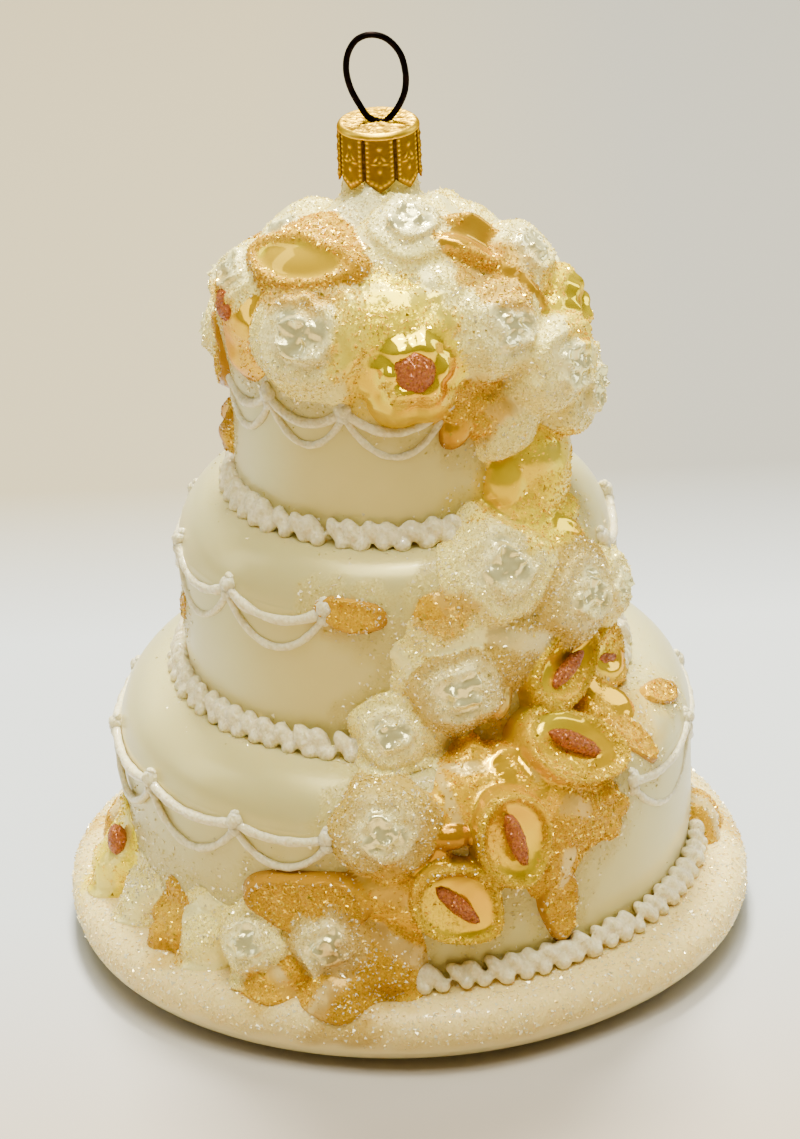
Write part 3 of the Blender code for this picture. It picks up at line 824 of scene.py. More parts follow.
def sugared_normal(tree, cover, spacing, strength):
    """The smooth normal where the glass is bare and the crystals' normal where glitter covers it."""
    plain = add(tree, "NewGeometry").outputs["Normal"]
    crystals = glitter_normal(tree, spacing, strength)
    return add(tree, "Mix", {0: cover, 4: plain, 5: crystals}, data_type="VECTOR").outputs[1]


def pearl_lacquer():
    """Silvered blown glass dipped in pearl lacquer: a milky satin ground that mirrors the room softly, with a
    painted sheen that pales its colour at its edges, matt and sparkling where glitter was shaken over wet glue."""
    material, tree, shader = new_material("pearl lacquer on blown glass")
    frost = add(tree, "Attribute", attribute_name="frost").outputs["Fac"]
    paint = add(tree, "Attribute", attribute_name="paint").outputs["Color"]
    mottle = blotches(tree, 14.0, (0.3, 0.7), (0.0, 0.35))
    # Painted sheen: the colour pales towards grazing edges, standing in for the room mirrored there
    facing = add(tree, "LayerWeight", {"Blend": 0.35}).outputs["Facing"]
    edge = add(tree, "MapRange", {"Value": facing, "From Min": 0.2, "To Max": 0.6}).outputs["Result"]
    tinted = add(tree, "Mix", {0: mottle, 6: paint, 7: opaque("#DCD190")}, data_type="RGBA").outputs[2]
    pearl = add(tree, "Mix", {0: edge, 6: tinted, 7: opaque("#E4E2BE")}, data_type="RGBA").outputs[2]
    sugar = add(tree, "Mix", {0: 0.35, 6: paint, 7: opaque("#D8BC4C")}, data_type="RGBA").outputs[2]
    looks = {
        "Base Color": add(tree, "Mix", {0: frost, 6: pearl, 7: sugar}, data_type="RGBA").outputs[2],
        "Roughness": add(tree, "Mix", {0: frost, 2: 0.30, 3: 0.45}).outputs[0],
        "Metallic": add(tree, "Mix", {0: frost, 2: 0.2, 3: 0.0}).outputs[0],
        "Normal": sugared_normal(tree, frost, 0.25, 0.6),
        "Specular Tint": opaque("#F4DC90"),
        "Subsurface Weight": 0.45,
        "Subsurface Radius": (1.0, 0.8, 0.5),
        "Subsurface Scale": 4.0 * MM,
        "Coat Weight": 0.15,
        "Coat Roughness": 0.1,
    }
    fill(tree, shader, looks)
    return material


def flower_lacquer():
    """Mirror-silvered glass painted with clear lacquers: glossy where bare, sugary where glitter covers it."""
    material, tree, shader = new_material("painted and glittered blown glass")
    paint = add(tree, "Attribute", attribute_name="paint").outputs["Color"]
    frost = add(tree, "Attribute", attribute_name="frost").outputs["Fac"]
    gilt = add(tree, "Attribute", attribute_name="gilt").outputs["Fac"]
    patchy = blotches(tree, 1.8, (0.36, 0.50), (0.35, 1.0), 4.0)
    grain = blotches(tree, 0.35, (0.3, 0.7), (0.0, 0.12), 2.0)
    cover = add(tree, "Math", {0: frost, 1: patchy}, operation="MULTIPLY").outputs[0]
    bare = add(tree, "Math", {0: 1.0, 1: cover}, operation="SUBTRACT").outputs[0]
    golden = add(tree, "Math", {0: cover, 1: grain}, operation="MULTIPLY").outputs[0]
    ends = {6: paint, 7: opaque("#FFDC20")}
    looks = {
        "Base Color": add(tree, "Mix", {0: golden, **ends}, data_type="RGBA").outputs[2],
        "Roughness": add(tree, "Mix", {0: cover, 2: 0.08, 3: 0.42}).outputs[0],
        "Metallic": add(tree, "Math", {0: gilt, 1: bare}, operation="MULTIPLY").outputs[0],
        "Normal": sugared_normal(tree, cover, 0.30, 0.85),
        "Specular Tint": paint,
        "Coat Weight": 0.06,
        "Coat Roughness": 0.03,
    }
    fill(tree, shader, looks)
    return material


def glitter_glue():
    """White glue thick with fine glass glitter, piped wet and dried matt between its sparks."""
    material, tree, shader = new_material("piped white glitter glue")
    tone = blotches(tree, 0.7, (0.3, 0.7))
    ends = {6: opaque("#DFD09A"), 7: opaque("#F8ECC0")}
    looks = {
        "Base Color": add(tree, "Mix", {0: tone, **ends}, data_type="RGBA").outputs[2],
        "Normal": glitter_normal(tree, 0.25, 0.7),
        "Subsurface Weight": 0.35,
        "Subsurface Radius": (1.0, 0.8, 0.45),
        "Subsurface Scale": 1.5 * MM,
        "Specular Tint": opaque("#F8E6B8"),
        "Roughness": 0.4,
        "Coat Weight": 0.4,
    }
    fill(tree, shader, looks)
    return material


def crushed_glass():
    """Crushed glass glitter sunk in glue: each crystal takes its lacquer's colour and flashes off flat sides."""
    material, tree, shader = new_material("crushed glass glitter")
    paint = add(tree, "Attribute", attribute_name="paint").outputs["Color"]
    gilt = add(tree, "Attribute", attribute_name="gilt").outputs["Fac"]
    clear = add(tree, "Mix", {0: 0.15, 6: paint, 7: opaque("#FFE020")}, data_type="RGBA").outputs[2]
    fill(tree, shader, {"Base Color": clear, "Specular Tint": clear, "Metallic": gilt})
    fill(tree, shader, {"Roughness": 0.22, "Coat Weight": 0.1})
    return material


def rust_glitter():
    """Fine rust red glitter on the flowers' centres, matt with small copper sparks."""
    material, tree, shader = new_material("rust red glitter")
    from_middle = cells_apart(tree, 0.35).outputs["Distance"]
    tone = add(tree, "MapRange", {"Value": from_middle, "From Max": 0.8}).outputs["Result"]
    ends = {6: opaque("#8A4416"), 7: opaque("#B8662C")}
    looks = {
        "Base Color": add(tree, "Mix", {0: tone, **ends}, data_type="RGBA").outputs[2],
        "Normal": glitter_normal(tree, 0.3, 1.2),
        "Roughness": 0.35,
        "Metallic": 0.25,
    }
    fill(tree, shader, looks)
    return material


def gilt_tinplate():
    """Gold-lacquered tinplate: bright where the stamping stands proud, browner and duller in its grooves, with
    painted shade in the slot on its top.
    """
    material, tree, shader = new_material("gold lacquered tinplate")
    hollow = add(tree, "Attribute", attribute_name="hollow").outputs["Fac"]
    mottle = blotches(tree, 0.8, (0.35, 0.65), (0.0, 0.25))
    ends = {6: opaque("#FFCE20"), 7: opaque("#3E2805")}
    ground = add(tree, "Mix", {0: hollow, **ends}, data_type="RGBA").outputs[2]
    ends = {6: ground, 7: opaque("#9A7418")}
    looks = {
        "Base Color": add(tree, "Mix", {0: mottle, **ends}, data_type="RGBA").outputs[2],
        "Roughness": add(tree, "Mix", {0: hollow, 2: 0.38, 3: 0.60}).outputs[0],
        "Metallic": 1.0,
        "Specular Tint": opaque("#F0B424"),
    }
    fill(tree, shader, looks)
    return material


def browned_wire():
    """Spring wire with a dark brown oil finish, scuffed along its length."""
    material, tree, shader = new_material("oil browned spring wire")
    scuff = blotches(tree, 1.2, (0.45, 0.75))
    ends = {6: opaque("#080504"), 7: opaque("#1C110B")}
    looks = {
        "Base Color": add(tree, "Mix", {0: scuff, **ends}, data_type="RGBA").outputs[2],
        "Roughness": add(tree, "Mix", {0: scuff, 2: 0.30, 3: 0.45}).outputs[0],
        "Metallic": 0.8,
        "Specular Tint": opaque("#6E5440"),
    }
    fill(tree, shader, looks)
    return material


def paper():
    """Matt white card with light and shade painted on: painted cool light beside the ornament, painted warm light
    in front of it and painted shade further back.
    """
    material, tree, shader = new_material("matt white card")
    place = add(tree, "TexCoord").outputs["Object"]
    x, y = (add(tree, "SeparateXYZ", {"Vector": place}).outputs[axis] for axis in "XY")
    # Painted light: the card is paler and warmer towards the front and cool beside the ornament
    ends = {"From Min": -0.10, "From Max": 0.0, "To Min": 1.0, "To Max": 0.0}
    near = add(tree, "MapRange", {"Value": y, **ends}).outputs["Result"]
    # Painted shade: the card turns darker further back, browner on the left and greyer on the right
    far = add(tree, "MapRange", {"Value": y, "From Min": 0.10, "From Max": 0.165}).outputs["Result"]
    right = add(tree, "MapRange", {"Value": x, "From Min": -0.03, "From Max": 0.06}).outputs["Result"]
    painted_light_tints = {6: opaque("#B2B6B6"), 7: opaque("#B6A284")}
    painted_shade_greys = {6: opaque("#928769"), 7: opaque("#807D72")}
    pale = add(tree, "Mix", {0: near, **painted_light_tints}, data_type="RGBA").outputs[2]
    grey = add(tree, "Mix", {0: right, **painted_shade_greys}, data_type="RGBA").outputs[2]
    colour = add(tree, "Mix", {0: far, 6: pale, 7: grey}, data_type="RGBA").outputs[2]
    fill(tree, shader, {"Base Color": colour, "Roughness": 0.8})
    return material


MATERIALS = {
    "pearl": pearl_lacquer(),
    "flowers": flower_lacquer(),
    "glue": glitter_glue(),
    "crushed glass": crushed_glass(),
    "rust glitter": rust_glitter(),
    "cap": gilt_tinplate(),
    "wire": browned_wire(),
    "paper": paper(),
}


# --- The glass body -----------------------------------------------------------------------------------


def glass_body(rims):
    """The turned cake, a little uneven as blown glass is, with glitter on its board and round its flowers."""
    columns = 240
    line = OUTLINE[1:-1]
    r, a = np.meshgrid(line[:, 0], np.arange(columns) * TURN / columns, indexing="ij")
    z = line[:, 1:] + 0 * a
    points = np.stack([r * np.sin(a), -r * np.cos(a), z], axis=-1).reshape(-1, 3)
    level = points[:, 2]
    loose = smoothstep(1.0, 5.0, level) * (1 - smoothstep(122.0, 127.0, level))
    wave = ripple(points, 60.0, 3) * 0.35 + ripple(points, 22.0, 4) * 0.10
    on_board = (level < 13) * (points[:, 0] ** 2 + points[:, 1] ** 2 > TIER_RADII[0] ** 2)
    push = np.where(on_board, -0.55 - 0.45 * ripple(points * [1, 1, 0.2], 52.0, 8), wave) * loose
    push = np.where(on_board, np.minimum(push, 0.0), push)
    outward = points * [1, 1, 0]
    outward /= np.maximum(np.linalg.norm(outward, axis=1), 1e-6)[:, None]
    points = np.vstack([points + outward * push[:, None], [[0, 0, 0], [0, 0, NECK_TOP]]])
    on_board = np.append(on_board, [False, False])
    body = mesh_object("cake_glass", points, tube_faces(len(line), columns))
    write_value(body.data, "frost", body_frost(points, rims))
    # The board's lacquer is paler than the cake's, partly its own yellower coat and partly painted light on its
    # rim
    pearl = fade(np.array(srgb(PEARL)), np.array(srgb(BOARD_PEARL_PAINTED_PALER)), on_board)
    write_colour(body.data, "paint", sprayed_on(points, pearl))
    body.data.materials.append(MATERIALS["pearl"])
    return body


def body_frost(points, rims):
    """Glitter on the bare glass: all over the board's top, up the lower left wall, and round the flowers."""
    level = points[:, 2]
    radius = np.hypot(points[:, 0], points[:, 1])
    azimuth = np.degrees(np.arctan2(points[:, 0], -points[:, 1]))
    ragged = 1.2 * ripple(points, 5.0, 21)
    board = smoothstep(4.2, 6.2, level + 0.5 * ragged) * (level < 14) * (radius > TIER_RADII[0] - 1)
    left = smoothstep(-96, -80, azimuth) * (1 - smoothstep(-20, -4, azimuth))
    wall = left * (1 - smoothstep(22.0, 33.0, level + 2 * ragged)) * (level > 8)
    flowers = finder(rims)
    gap = np.array([flowers.find(point)[2] for point in points])
    halo = 1 - smoothstep(1.0, 3.8, gap + ragged)
    ledge = sum(np.exp(-(((level - foot - 1.5) / 2.2) ** 2)) for foot in FEET)
    return np.clip(np.maximum.reduce([board, 0.9 * wall, 0.85 * halo, 0.5 * ledge]), 0, 1)


# --- Piping -------------------------------------------------------------------------------------------


def tube(line, thickness, sides=10, upright=(0.0, 0.0, 1.0)):
    """A tube of varying thickness along a line of points that never runs the upright way, its ends closed."""
    along = np.gradient(line, axis=0)
    along /= np.linalg.norm(along, axis=1)[:, None]
    first = np.cross(along, upright)
    first /= np.maximum(np.linalg.norm(first, axis=1), 1e-6)[:, None]
    second = np.cross(along, first)
    angle = np.arange(sides)[None, :, None] * TURN / sides
    ring = first[:, None, :] * np.cos(angle) + second[:, None, :] * np.sin(angle)
    points = (line[:, None, :] + ring * thickness[:, None, None]).reshape(-1, 3)
    return np.vstack([points, line[:1], line[-1:]]), tube_faces(len(line), sides)


def ball(centre, radii, axes, lumps, seed, rings=10, facets=14):
    """A lumpy ellipsoid with its radii along the given axes."""
    tilt = np.repeat(np.arange(1, rings) * math.pi / rings, facets)
    angle = np.tile(np.arange(facets) * TURN / facets, rings - 1)
    unit = np.stack([np.sin(tilt) * np.cos(angle), np.sin(tilt) * np.sin(angle), np.cos(tilt)], axis=-1)
    unit = np.vstack([unit, [[0, 0, 1], [0, 0, -1]]])
    swell = 1 + lumps * ripple(unit * max(radii) + np.asarray(centre), 1.6, seed, 8)
    points = np.asarray(centre) + (unit * np.asarray(radii) * swell[:, None]) @ np.asarray(axes)
    return points, tube_faces(rings - 1, facets)[:, ::-1]


def wall_axes(azimuth, lean=0.0):
    """Along the wall, out of it and up, as rows, turned about the way out by lean degrees."""
    bearing, roll = math.radians(azimuth), math.radians(lean)
    along = np.array([math.cos(bearing), math.sin(bearing), 0.0])
    out = np.array([math.sin(bearing), -math.cos(bearing), 0.0])
    up = np.array([0.0, 0.0, 1.0])
    side, rise = along * math.cos(roll) + up * math.sin(roll), up * math.cos(roll) - along * math.sin(roll)
    return np.stack([side, out, rise])


def strand(start, end, level, sag, drop, thickness, seed):
    """One drooping string of glue between two knobs."""
    share = np.linspace(0, 1, 26)
    height = level - drop - sag * (1 - (2 * share - 1) ** 2) ** 0.9
    line = on_wall(start + (end - start) * share, height, 0.35 * thickness)
    return tube(line, thickness * (1 + 0.12 * ripple(line, 3.0, seed, 6)))


def piped_swags():
    """A double row of swags on each tier, with a knob where they meet."""
    parts = []
    for tier, azimuths in enumerate(KNOBS):
        level = KNOB_LEVELS[tier]
        stop, resume = SWAGS_STOP[tier]
        for index, start in enumerate(azimuths):
            end = azimuths[index + 1] if index + 1 < len(azimuths) else azimuths[0] + 360
            seed = 100 * tier + index
            span = (end - start) / (360 / len(azimuths))
            if not stop <= start < resume:
                parts.append(strand(start, end, level, UPPER_SAG[tier] * span, 0.2, UPPER_STRAND, seed))
                parts.append(strand(start, end, level, LOWER_SAG[tier] * span, 1.3, LOWER_STRAND, seed + 50))
            if stop < start < resume:
                continue
            for drop, size in ((0.0, 1.0), (-1.0, 0.62), (1.5, 0.8)):
                centre = on_wall(np.array([start]), np.array([level - drop]), 0.25)[0]
                radii = KNOB_RADIUS * size * np.array([1.0, 0.95, 1.05])
                parts.append(ball(centre, radii, wall_axes(start), 0.10, seed + 7))
    swags = mesh_object("piped_swags", *joined(parts))
    swags.data.materials.append(MATERIALS["glue"])
    return swags


def bead_borders():
    """A row of piped shells round each tier's foot, each leaning back over the one before with a small curl."""
    dice = np.random.default_rng(5)
    parts = []
    for tier in range(3):
        ring = TIER_RADII[tier] + 0.8
        count = round(TURN * ring / BEAD_PITCH)
        for index in range(count):
            azimuth = 360 * (index + dice.uniform(-0.12, 0.12)) / count
            if BORDERS_STOP[tier][0] < (azimuth + 180) % 360 - 180 < BORDERS_STOP[tier][1]:
                continue
            swell = dice.uniform(0.86, 1.14)
            lumps = (
                (0.0, 1.9, 0.2, (0.85, 1.05, 1.55), 38),
                (0.42, 0.5, 1.1, (0.9, 0.85, 0.8), 20),
                (-0.25, 2.9, -0.3, (0.75, 0.7, 0.6), -30),
            )
            for step, rise, proud, radii, lean in lumps:
                turn = azimuth + step * 360 / count
                bearing = math.radians(turn)
                radius = ring + proud + dice.uniform(-0.15, 0.15)
                level = FEET[tier] + rise + dice.uniform(-0.2, 0.2)
                centre = (radius * math.sin(bearing), -radius * math.cos(bearing), level)
                axes = wall_axes(turn, lean + dice.uniform(-14, 14))
                parts.append(ball(centre, BEAD_RADIUS * swell * np.array(radii), axes, 0.10, index, 7, 10))
    borders = melted("piped_borders", *joined(parts), 1.05 * VOXEL, 1)
    borders.data.materials.append(MATERIALS["glue"])
    return borders


# --- Rust red flower centres --------------------------------------------------------------------------

# How far each kind's centre stands out of the glass, and its radii along, across and out of the flower,
# in flower radii
CENTRES = {"daffodil": (0.31, (0.29, 0.29, 0.10)), "calla": (0.30, (0.52, 0.16, 0.13))}

# (azimuth, height, tilt, how far it stands out) of two more on the yellow mounds at the left
LOOSE_CENTRES = ((-76, 18.4, 34, 2.6), (-64, 112.0, 24, 1.2))

def flower_centres():
    """A rough disc in each daffodil and a long spadix in each calla, in rust red glitter."""
    parts = []
    for index, row in enumerate(CROWN + CASCADE + SPRAYS + BACK_SPRAY):
        kind, azimuth, height, size, tilt, turn, _ = row
        if kind not in CENTRES:
            continue
        depth, radii = CENTRES[kind]
        face, spin = math.radians(tilt), math.radians(turn)
        along, out, up = wall_axes(azimuth)
        out = out * math.cos(face) + up * math.sin(face)
        length = along * math.cos(spin) + np.cross(out, along) * math.sin(spin)
        axes = np.stack([length, np.cross(out, length), out])
        centre = above_glass(azimuth, height, tilt, depth * size)
        parts.append(ball(centre, size * np.array(radii), axes, 0.07, index, 16, 24))
    for azimuth, height, tilt, proud in LOOSE_CENTRES:
        centre = above_glass(azimuth, height, tilt, proud)
        parts.append(ball(centre, np.array([2.0, 1.6, 2.6]), wall_axes(azimuth, 12), 0.05, 3, 16, 24))
    centres = mesh_object("flower_centres", *joined(parts))
    centres.data.materials.append(MATERIALS["rust glitter"])
    return centres


# --- Loose glitter ------------------------------------------------------------------------------------


def crystals(name, surface, count, weight, size, tint, gilt, seed, tumble=0.4):
    """Four-sided shards bedded in a surface, as dense as weight says at its points, in its own lacquer's
    colour or in a tint, tumbled a little or to all angles."""
    dice = np.random.default_rng(seed)
    points, triangles = points_of(surface.data), triangles_of(surface.data)
    a, b, c = (points[triangles[:, i]] for i in range(3))
    normals = np.cross(b - a, c - a)
    area = np.linalg.norm(normals, axis=1)
    chance = area * weight[triangles].mean(axis=1)
    chosen = dice.choice(len(triangles), count, p=chance / chance.sum())
    u, v = dice.random((2, count, 1))
    u, v = np.where(u + v > 1, 1 - u, u), np.where(u + v > 1, 1 - v, v)
    places = a[chosen] + u * (b - a)[chosen] + v * (c - a)[chosen]
    lean = normals[chosen] / np.maximum(area[chosen], 1e-9)[:, None] + dice.normal(scale=tumble, size=(count, 3))
    lean /= np.linalg.norm(lean, axis=1)[:, None]
    side = np.cross(lean, dice.normal(size=(count, 3)))
    side /= np.maximum(np.linalg.norm(side, axis=1), 1e-6)[:, None]
    other = np.cross(lean, side)
    scale = size * dice.uniform(0.5, 1.3, (count, 1)) ** 1.5
    corners = []
    for angle in (0, TURN / 3, 2 * TURN / 3):
        reach = scale * dice.uniform(0.75, 1.25, (count, 1))
        corners.append(places + reach * (side * math.cos(angle) + other * math.sin(angle)) + 0.25 * scale * lean)
    corners.append(places - 0.55 * scale * lean)
    points = np.stack(corners, axis=1).reshape(-1, 3)
    pattern = np.array([[0, 1, 2], [1, 0, 3], [2, 1, 3], [0, 2, 3]])
    faces = (np.arange(count)[:, None, None] * 4 + pattern[None]).reshape(-1, 3)
    made = mesh_object(name, points, faces, smooth=False)
    colours = np.tile(tint, (count, 1)) if tint is not None else paint_values(surface)[triangles[chosen, 0]]
    write_colour(made.data, "paint", np.repeat(colours, 4, axis=0))
    write_value(made.data, "gilt", np.repeat(gilt * dice.random(count), 4))
    made.data.materials.append(MATERIALS["crushed glass"])
    return made


def attribute_values(surface, name):
    flat = np.empty(len(surface.data.vertices), dtype=np.float32)
    surface.data.attributes[name].data.foreach_get("value", flat)
    return flat


def paint_values(surface):
    flat = np.empty(len(surface.data.vertices) * 4, dtype=np.float32)
    surface.data.attributes["paint"].data.foreach_get("color", flat)
    return flat.reshape(-1, 4)[:, :3]


def not_buried(points):
    """1 where a point is on or out of the turned cake's wall, 0 where it is inside."""
    radius = np.hypot(points[:, 0], points[:, 1])
    return (radius > radius_at(points[:, 2]) - 0.2).astype(float)


def loose_glitter(body, beds, centres):
    """Crushed glass wherever there is glue: over the flowers, the board and the glass beside them, with larger
    gold and pale crystals and a few dark specks among it, and finer rust red ones on the centres."""
    gold, pale, dark, rust = (np.array(srgb(code)) for code in ("#F6D040", "#FDF4CC", "#2A231A", "#A85A24"))
    half, glued = FLAKES // 2, attribute_values(body, "frost") ** 2
    made = [crystals("board_glitter", body, half, glued, size=0.25, tint=None, gilt=0.3, seed=77, tumble=0.6)]
    for index, (bed, share) in enumerate(zip(beds, (0.8, 1.0, 0.1, 0.35))):
        name, count = f"{bed.name}_glitter", int(share * FLAKES)
        shown = attribute_values(bed, "frost") ** 2 * not_buried(points_of(bed.data))
        made.append(crystals(name, bed, count, shown, size=0.2, tint=None, gilt=0.5, seed=31 + index))
    made.append(crystals("sparks_board", body, half, glued, size=0.30, tint=pale, gilt=0.6, seed=60, tumble=0.6))
    for index, bed in enumerate(beds[:3]):
        colour, shown = paint_values(bed), attribute_values(bed, "frost") * not_buried(points_of(bed.data))
        warm = smoothstep(0.46, 0.58, colour[:, 0] - 2.0 * colour[:, 2])
        lot = FLAKES // (6 if index < 2 else 30)
        for name, count, weight, size, tint, gilt, seed, tumble in (
            ("gold_sparks", lot, (0.01 + warm) * shown, 0.28, gold, 1.0, 61, 0.8),
            ("pale_sparks", lot, (1 - warm) * shown, 0.25, pale, 0.8, 81, 0.7),
            ("dark_specks", 22, shown, 0.26, dark, 0.0, 71, 0.4),
        ):
            made.append(crystals(f"{name}_{index}", bed, count, weight, size, tint, gilt, seed + index, tumble))
    everywhere = np.ones(len(centres.data.vertices))
    rusty = crystals("rust_crystals", centres, FLAKES // 8, everywhere, size=0.14, tint=rust, gilt=0.5, seed=78)
    return [*made, rusty]


# --- Crown cap and wire -------------------------------------------------------------------------------


def stamped_cap():
    """A stamped cup: a grained top over eight pointed tongues, each stamped with beads and set off by grooves."""
    columns = CAP_PANELS * 40
    angle = np.arange(columns) * TURN / columns
    across = (angle * CAP_PANELS / TURN + 0.5) % 1.0 - 0.5
    bottom = CAP_SKIRT - CAP_POINT * (1 - np.abs(2 * across)) ** 0.85
    share = np.linspace(0, 1, 60)[:, None]
    level = (CAP_TOP - CAP_ROUNDING) * (1 - share) + bottom * share
    groove = np.exp(-(((np.abs(across) - 0.5) / 0.045) ** 2))
    relief = stamping(across * TURN * CAP_RADIUS / CAP_PANELS, CAP_TOP - CAP_ROUNDING - level)
    radius = CAP_RADIUS - CAP_GROOVE * groove - CAP_RELIEF * (1 - relief) + 0.10 * share
    hollow = np.clip(0.6 * groove + 0.85 * (1 - relief), 0, 1)
    rings_r, rings_z, rings_h = [], [], []
    for r in np.linspace(0.02, CAP_RADIUS - 1.2, 18):
        grain = 0.10 * ripple(np.stack([r * np.sin(angle), r * np.cos(angle), 0 * angle], -1), 0.75, 9)
        slot = (np.abs(r * np.cos(angle)) < 0.42) * (np.abs(r * np.sin(angle)) < LEG_SPREAD)
        rings_r.append(np.full(columns, r))
        rings_z.append(CAP_TOP - 0.15 + grain - 0.8 * slot)
        # The slot's floor gets the darkest hollow value: painted shade in the slot between the wire's legs
        rings_h.append(np.clip(0.6 - 4.0 * grain + slot, 0, 1))
    for step in range(1, 7):
        bend = step / 6 * math.pi / 2
        rings_r.append(np.full(columns, CAP_RADIUS - 1.0 + (1.0 - 0.12) * math.sin(bend)))
        rings_z.append(np.full(columns, CAP_TOP - CAP_ROUNDING * (1 - math.cos(bend))))
        rings_h.append(np.full(columns, 0.0))
    inside = np.full((2, columns), CAP_RADIUS - CAP_WALL)
    r = np.vstack([*rings_r, radius[1:], inside, np.full(columns, 0.02)])
    z = np.vstack([*rings_z, level[1:], level[-1:], np.full((2, columns), CAP_TOP - 1.6)])
    points = np.stack([r * np.sin(angle), -r * np.cos(angle), z], axis=-1).reshape(-1, 3)
    cap = mesh_object("stamped_cap", points, grid_faces(len(r), columns)[:, ::-1])
    write_value(cap.data, "hollow", np.vstack([*rings_h, hollow[1:], np.ones((3, columns))]).ravel())
    cap.data.materials.append(MATERIALS["cap"])
    return cap


# (across, down from the rim, half width, half height, lean) of the marks stamped on each tongue
MARKS = [
    (0.0, 1.45, 0.30, 0.30, 0),
    (-0.62, 3.1, 0.16, 0.42, -35),
    (0.62, 3.1, 0.16, 0.42, 35),
    (-0.85, 3.95, 0.42, 0.15, 0),
    (0.85, 3.95, 0.42, 0.15, 0),
    (0.0, 3.6, 0.18, 0.18, 0),
    (0.0, 5.1, 0.24, 0.34, 0),
]
MARKS += [(x, 7.6 - 0.55 * abs(x), 0.27, 0.27, 0) for x in (-1.3, -0.65, 0.0, 0.65, 1.3)]


def stamping(x, down):
    """A column of beads down each side of a tongue, a few marks in its middle and a V of beads at its point."""
    pitch = 0.77
    along = ((down / pitch) % 1.0 - 0.5) * pitch
    relief = np.exp(-(((np.abs(x) - 1.9) / 0.20) ** 2 + (along / 0.23) ** 2)) * (down < 6.7)
    for across, depth, wide, tall, lean in MARKS:
        roll = math.radians(lean)
        u, v = x - across, down - depth
        u, v = u * math.cos(roll) - v * math.sin(roll), v * math.cos(roll) + u * math.sin(roll)
        relief = np.maximum(relief, np.exp(-((u / wide) ** 2 + (v / tall) ** 2)))
    return relief


def hanging_loop():
    """One wire bent round to an egg-shaped eye, its legs coming together in the cap's slot."""
    route = [
        (1.4, 136.6),
        (-0.2, 136.9),
        (-1.5, 137.6),
        (-2.6, 139.4),
        (-3.9, 142.2),
        (-4.5, 145.2),
        (-4.1, 148.0),
        (-2.7, 150.1),
        (-0.5, 150.8),
        (1.9, 150.0),
        (3.8, 147.6),
        (4.5, 144.4),
        (4.3, 141.6),
        (3.4, 139.4),
        (2.2, 137.7),
        (0.9, 136.6),
        (-0.4, 135.8),
    ]
    line = smooth_line(route, 10)
    points = np.stack([line[:, 0], 0 * line[:, 0], line[:, 1]], axis=-1)
    thickness = np.full(len(points), WIRE_RADIUS)
    wire = mesh_object("wire_loop", *tube(points, thickness, 20, upright=(0.0, 1.0, 0.0)))
    wire.data.materials.append(MATERIALS["wire"])
    return wire


# --- Studio -------------------------------------------------------------------------------------------


# Where every lamp points, and half the floor's width, in metres
FLOODED = Vector((0, 0, 0.06))
FLOOR_REACH = 3.0


def area_light(name, place, size, power, colour):
    data = bpy.data.lights.new(name, "AREA")
    data.shape = "RECTANGLE"
    data.size, data.size_y = size
    data.energy = power
    data.color = colour
    lamp = bpy.data.objects.new(name, data)
    lamp.location = place
    lamp.rotation_euler = (FLOODED - Vector(place)).to_track_quat("-Z", "Y").to_euler()
    bpy.context.scene.collection.objects.link(lamp)


def studio():
    """A card floor with painted light and shade, a pale room that is dimmer and warmer in front, and soft lights
    above and beside.
    """
    world = bpy.data.worlds.new("pale room")
    bpy.context.scene.world = world
    world.use_nodes = True
    tree = world.node_tree
    heading = add(tree, "TexCoord").outputs["Generated"]
    y = add(tree, "SeparateXYZ", {"Vector": heading}).outputs["Y"]
    behind = add(tree, "MapRange", {"Value": y, "From Min": -0.6, "From Max": 0.3}).outputs["Result"]
    ends = {6: opaque("#CCC49A"), 7: opaque("#F0F0EC")}
    sky = add(tree, "Mix", {0: behind, **ends}, data_type="RGBA").outputs[2]
    fill(tree, tree.nodes["Background"], {"Color": sky, "Strength": 0.36})
    area_light("key", (0.0, 0.46, 0.96), (0.24, 0.24), 40.0, srgb("#FDFBF2"))
    area_light("ceiling", (0.0, -0.22, 1.10), (0.7, 0.7), 18.0, srgb("#FDFBEE"))
    area_light("left window", (-1.0, 0.1, 0.55), (0.3, 0.8), 2.2, srgb("#F4F8FF"))
    area_light("lamp strip", (0.08, -0.12, 0.95), (0.26, 0.03), 3.5, srgb("#FDFBEE"))
    area_light("right fill", (0.95, 0.35, 0.5), (0.3, 0.7), 3.0, srgb("#F4F8FF"))
    corners = np.array([[-1, -1, 0], [1, -1, 0], [1, 1, 0], [-1, 1, 0]]) * FLOOR_REACH / MM
    floor = mesh_object("card_floor", corners, np.array([[0, 1, 2, 3]]))
    floor.location.z = -0.05 * MM
    floor.data.materials.append(MATERIALS["paper"])


CAMERA_ELEVATION = 26.0
CAMERA_DISTANCE = 0.813
CAMERA_AIM = Vector((0.0005, 0.0, 0.0605))
CAMERA_ROLL = 2.4
CAMERA_LENS = 161.3


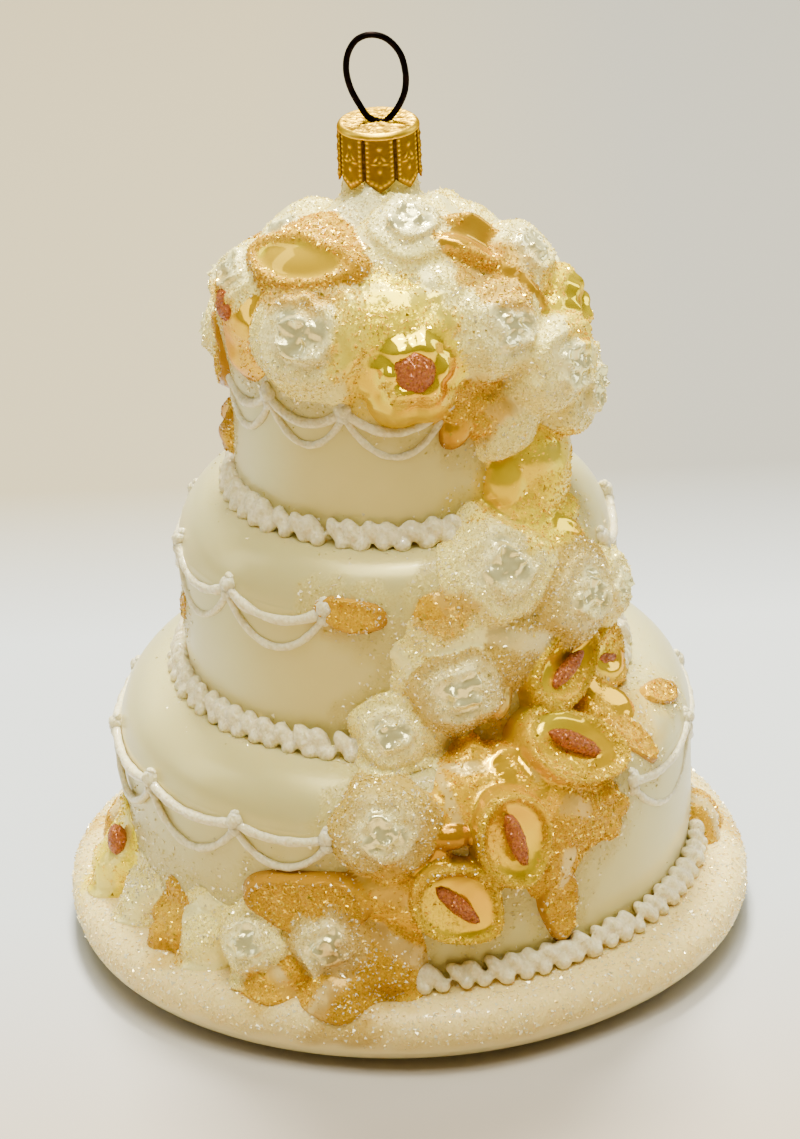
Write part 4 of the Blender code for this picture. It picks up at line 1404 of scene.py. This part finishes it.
def camera():
    data = bpy.data.cameras.new("camera")
    data.lens = CAMERA_LENS
    data.sensor_width = 36.0
    data.clip_start, data.clip_end = 0.05, 20.0
    eye = bpy.data.objects.new("camera", data)
    rise, roll = math.radians(CAMERA_ELEVATION), math.radians(CAMERA_ROLL)
    back = Vector((0, -math.cos(rise), math.sin(rise)))
    up, right = Vector((0, math.sin(rise), math.cos(rise))), Vector((1, 0, 0))
    tilted_right = right * math.cos(roll) - up * math.sin(roll)
    tilted_up = up * math.cos(roll) + right * math.sin(roll)
    place = CAMERA_AIM + back * CAMERA_DISTANCE
    eye.matrix_world = Matrix((*zip(tilted_right, tilted_up, back, place), (0, 0, 0, 1)))
    bpy.context.scene.collection.objects.link(eye)
    bpy.context.scene.camera = eye


# --- Putting it together ------------------------------------------------------------------------------


def flower_faces(rows):
    """Every third point of the flowers' faces, to find the glass beside them."""
    return np.vstack([flower(row, index)[0][: 1 + RINGS * FACETS][::3] for index, row in enumerate(rows)])


def settle(piece):
    """The crown sinks beside and behind the neck, as its glass sagged there while it was hot."""
    points = points_of(piece.data)
    level, behind = points[:, 2], smoothstep(*SAG_BEHIND, points[:, 1])
    points[:, 2] -= SAG * behind * smoothstep(*SAG_FROM, level) * (1 - smoothstep(*SAG_TO, level))
    points[:, 2] = np.maximum(points[:, 2], 0.0)
    piece.data.vertices.foreach_set("co", (points * MM).ravel())
    piece.data.update()


def main():
    camera()
    studio()
    body = glass_body(flower_faces(CROWN + CASCADE + SPRAYS + BACK_SPRAY))
    beds = []
    first = 0
    for name, rows in (
        ("crown_flowers", CROWN),
        ("cascade_flowers", CASCADE),
        ("side_sprays", SPRAYS),
        ("back_flowers", BACK_SPRAY),
    ):
        beds.append(flower_bed(name, rows, first))
        first += len(rows)
    swags = piped_swags()
    borders = bead_borders()
    centres = flower_centres()
    glitter = loose_glitter(body, beds, centres)
    cap = stamped_cap()
    wire = hanging_loop()
    for piece in (body, *beds, centres, *glitter):
        settle(piece)
    crown, cascade, sprays, back = beds
    golden = [piece for piece in glitter if piece.name.startswith("gold_sparks")]
    pale = [piece for piece in glitter[:-1] if piece not in golden]
    slots = {
        "pearl_lacquer": [body],
        "white_glitter": [swags, borders, crown, back, *pale],
        "yellow_lacquer": golden,
        "gold_lacquer": [cascade],
        "peach_glitter": [sprays],
        "rust_glitter": [centres, glitter[-1]],
    }
    for slot, pieces in slots.items():
        for piece in pieces:
            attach(piece, "root")
            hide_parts("glass_cake")
    for piece, node, slot in ((cap, "crown_cap", "gilt_cap"), (wire, "hanging_loop", "brown_wire")):
        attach(piece, "root")
        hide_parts(node)


main()
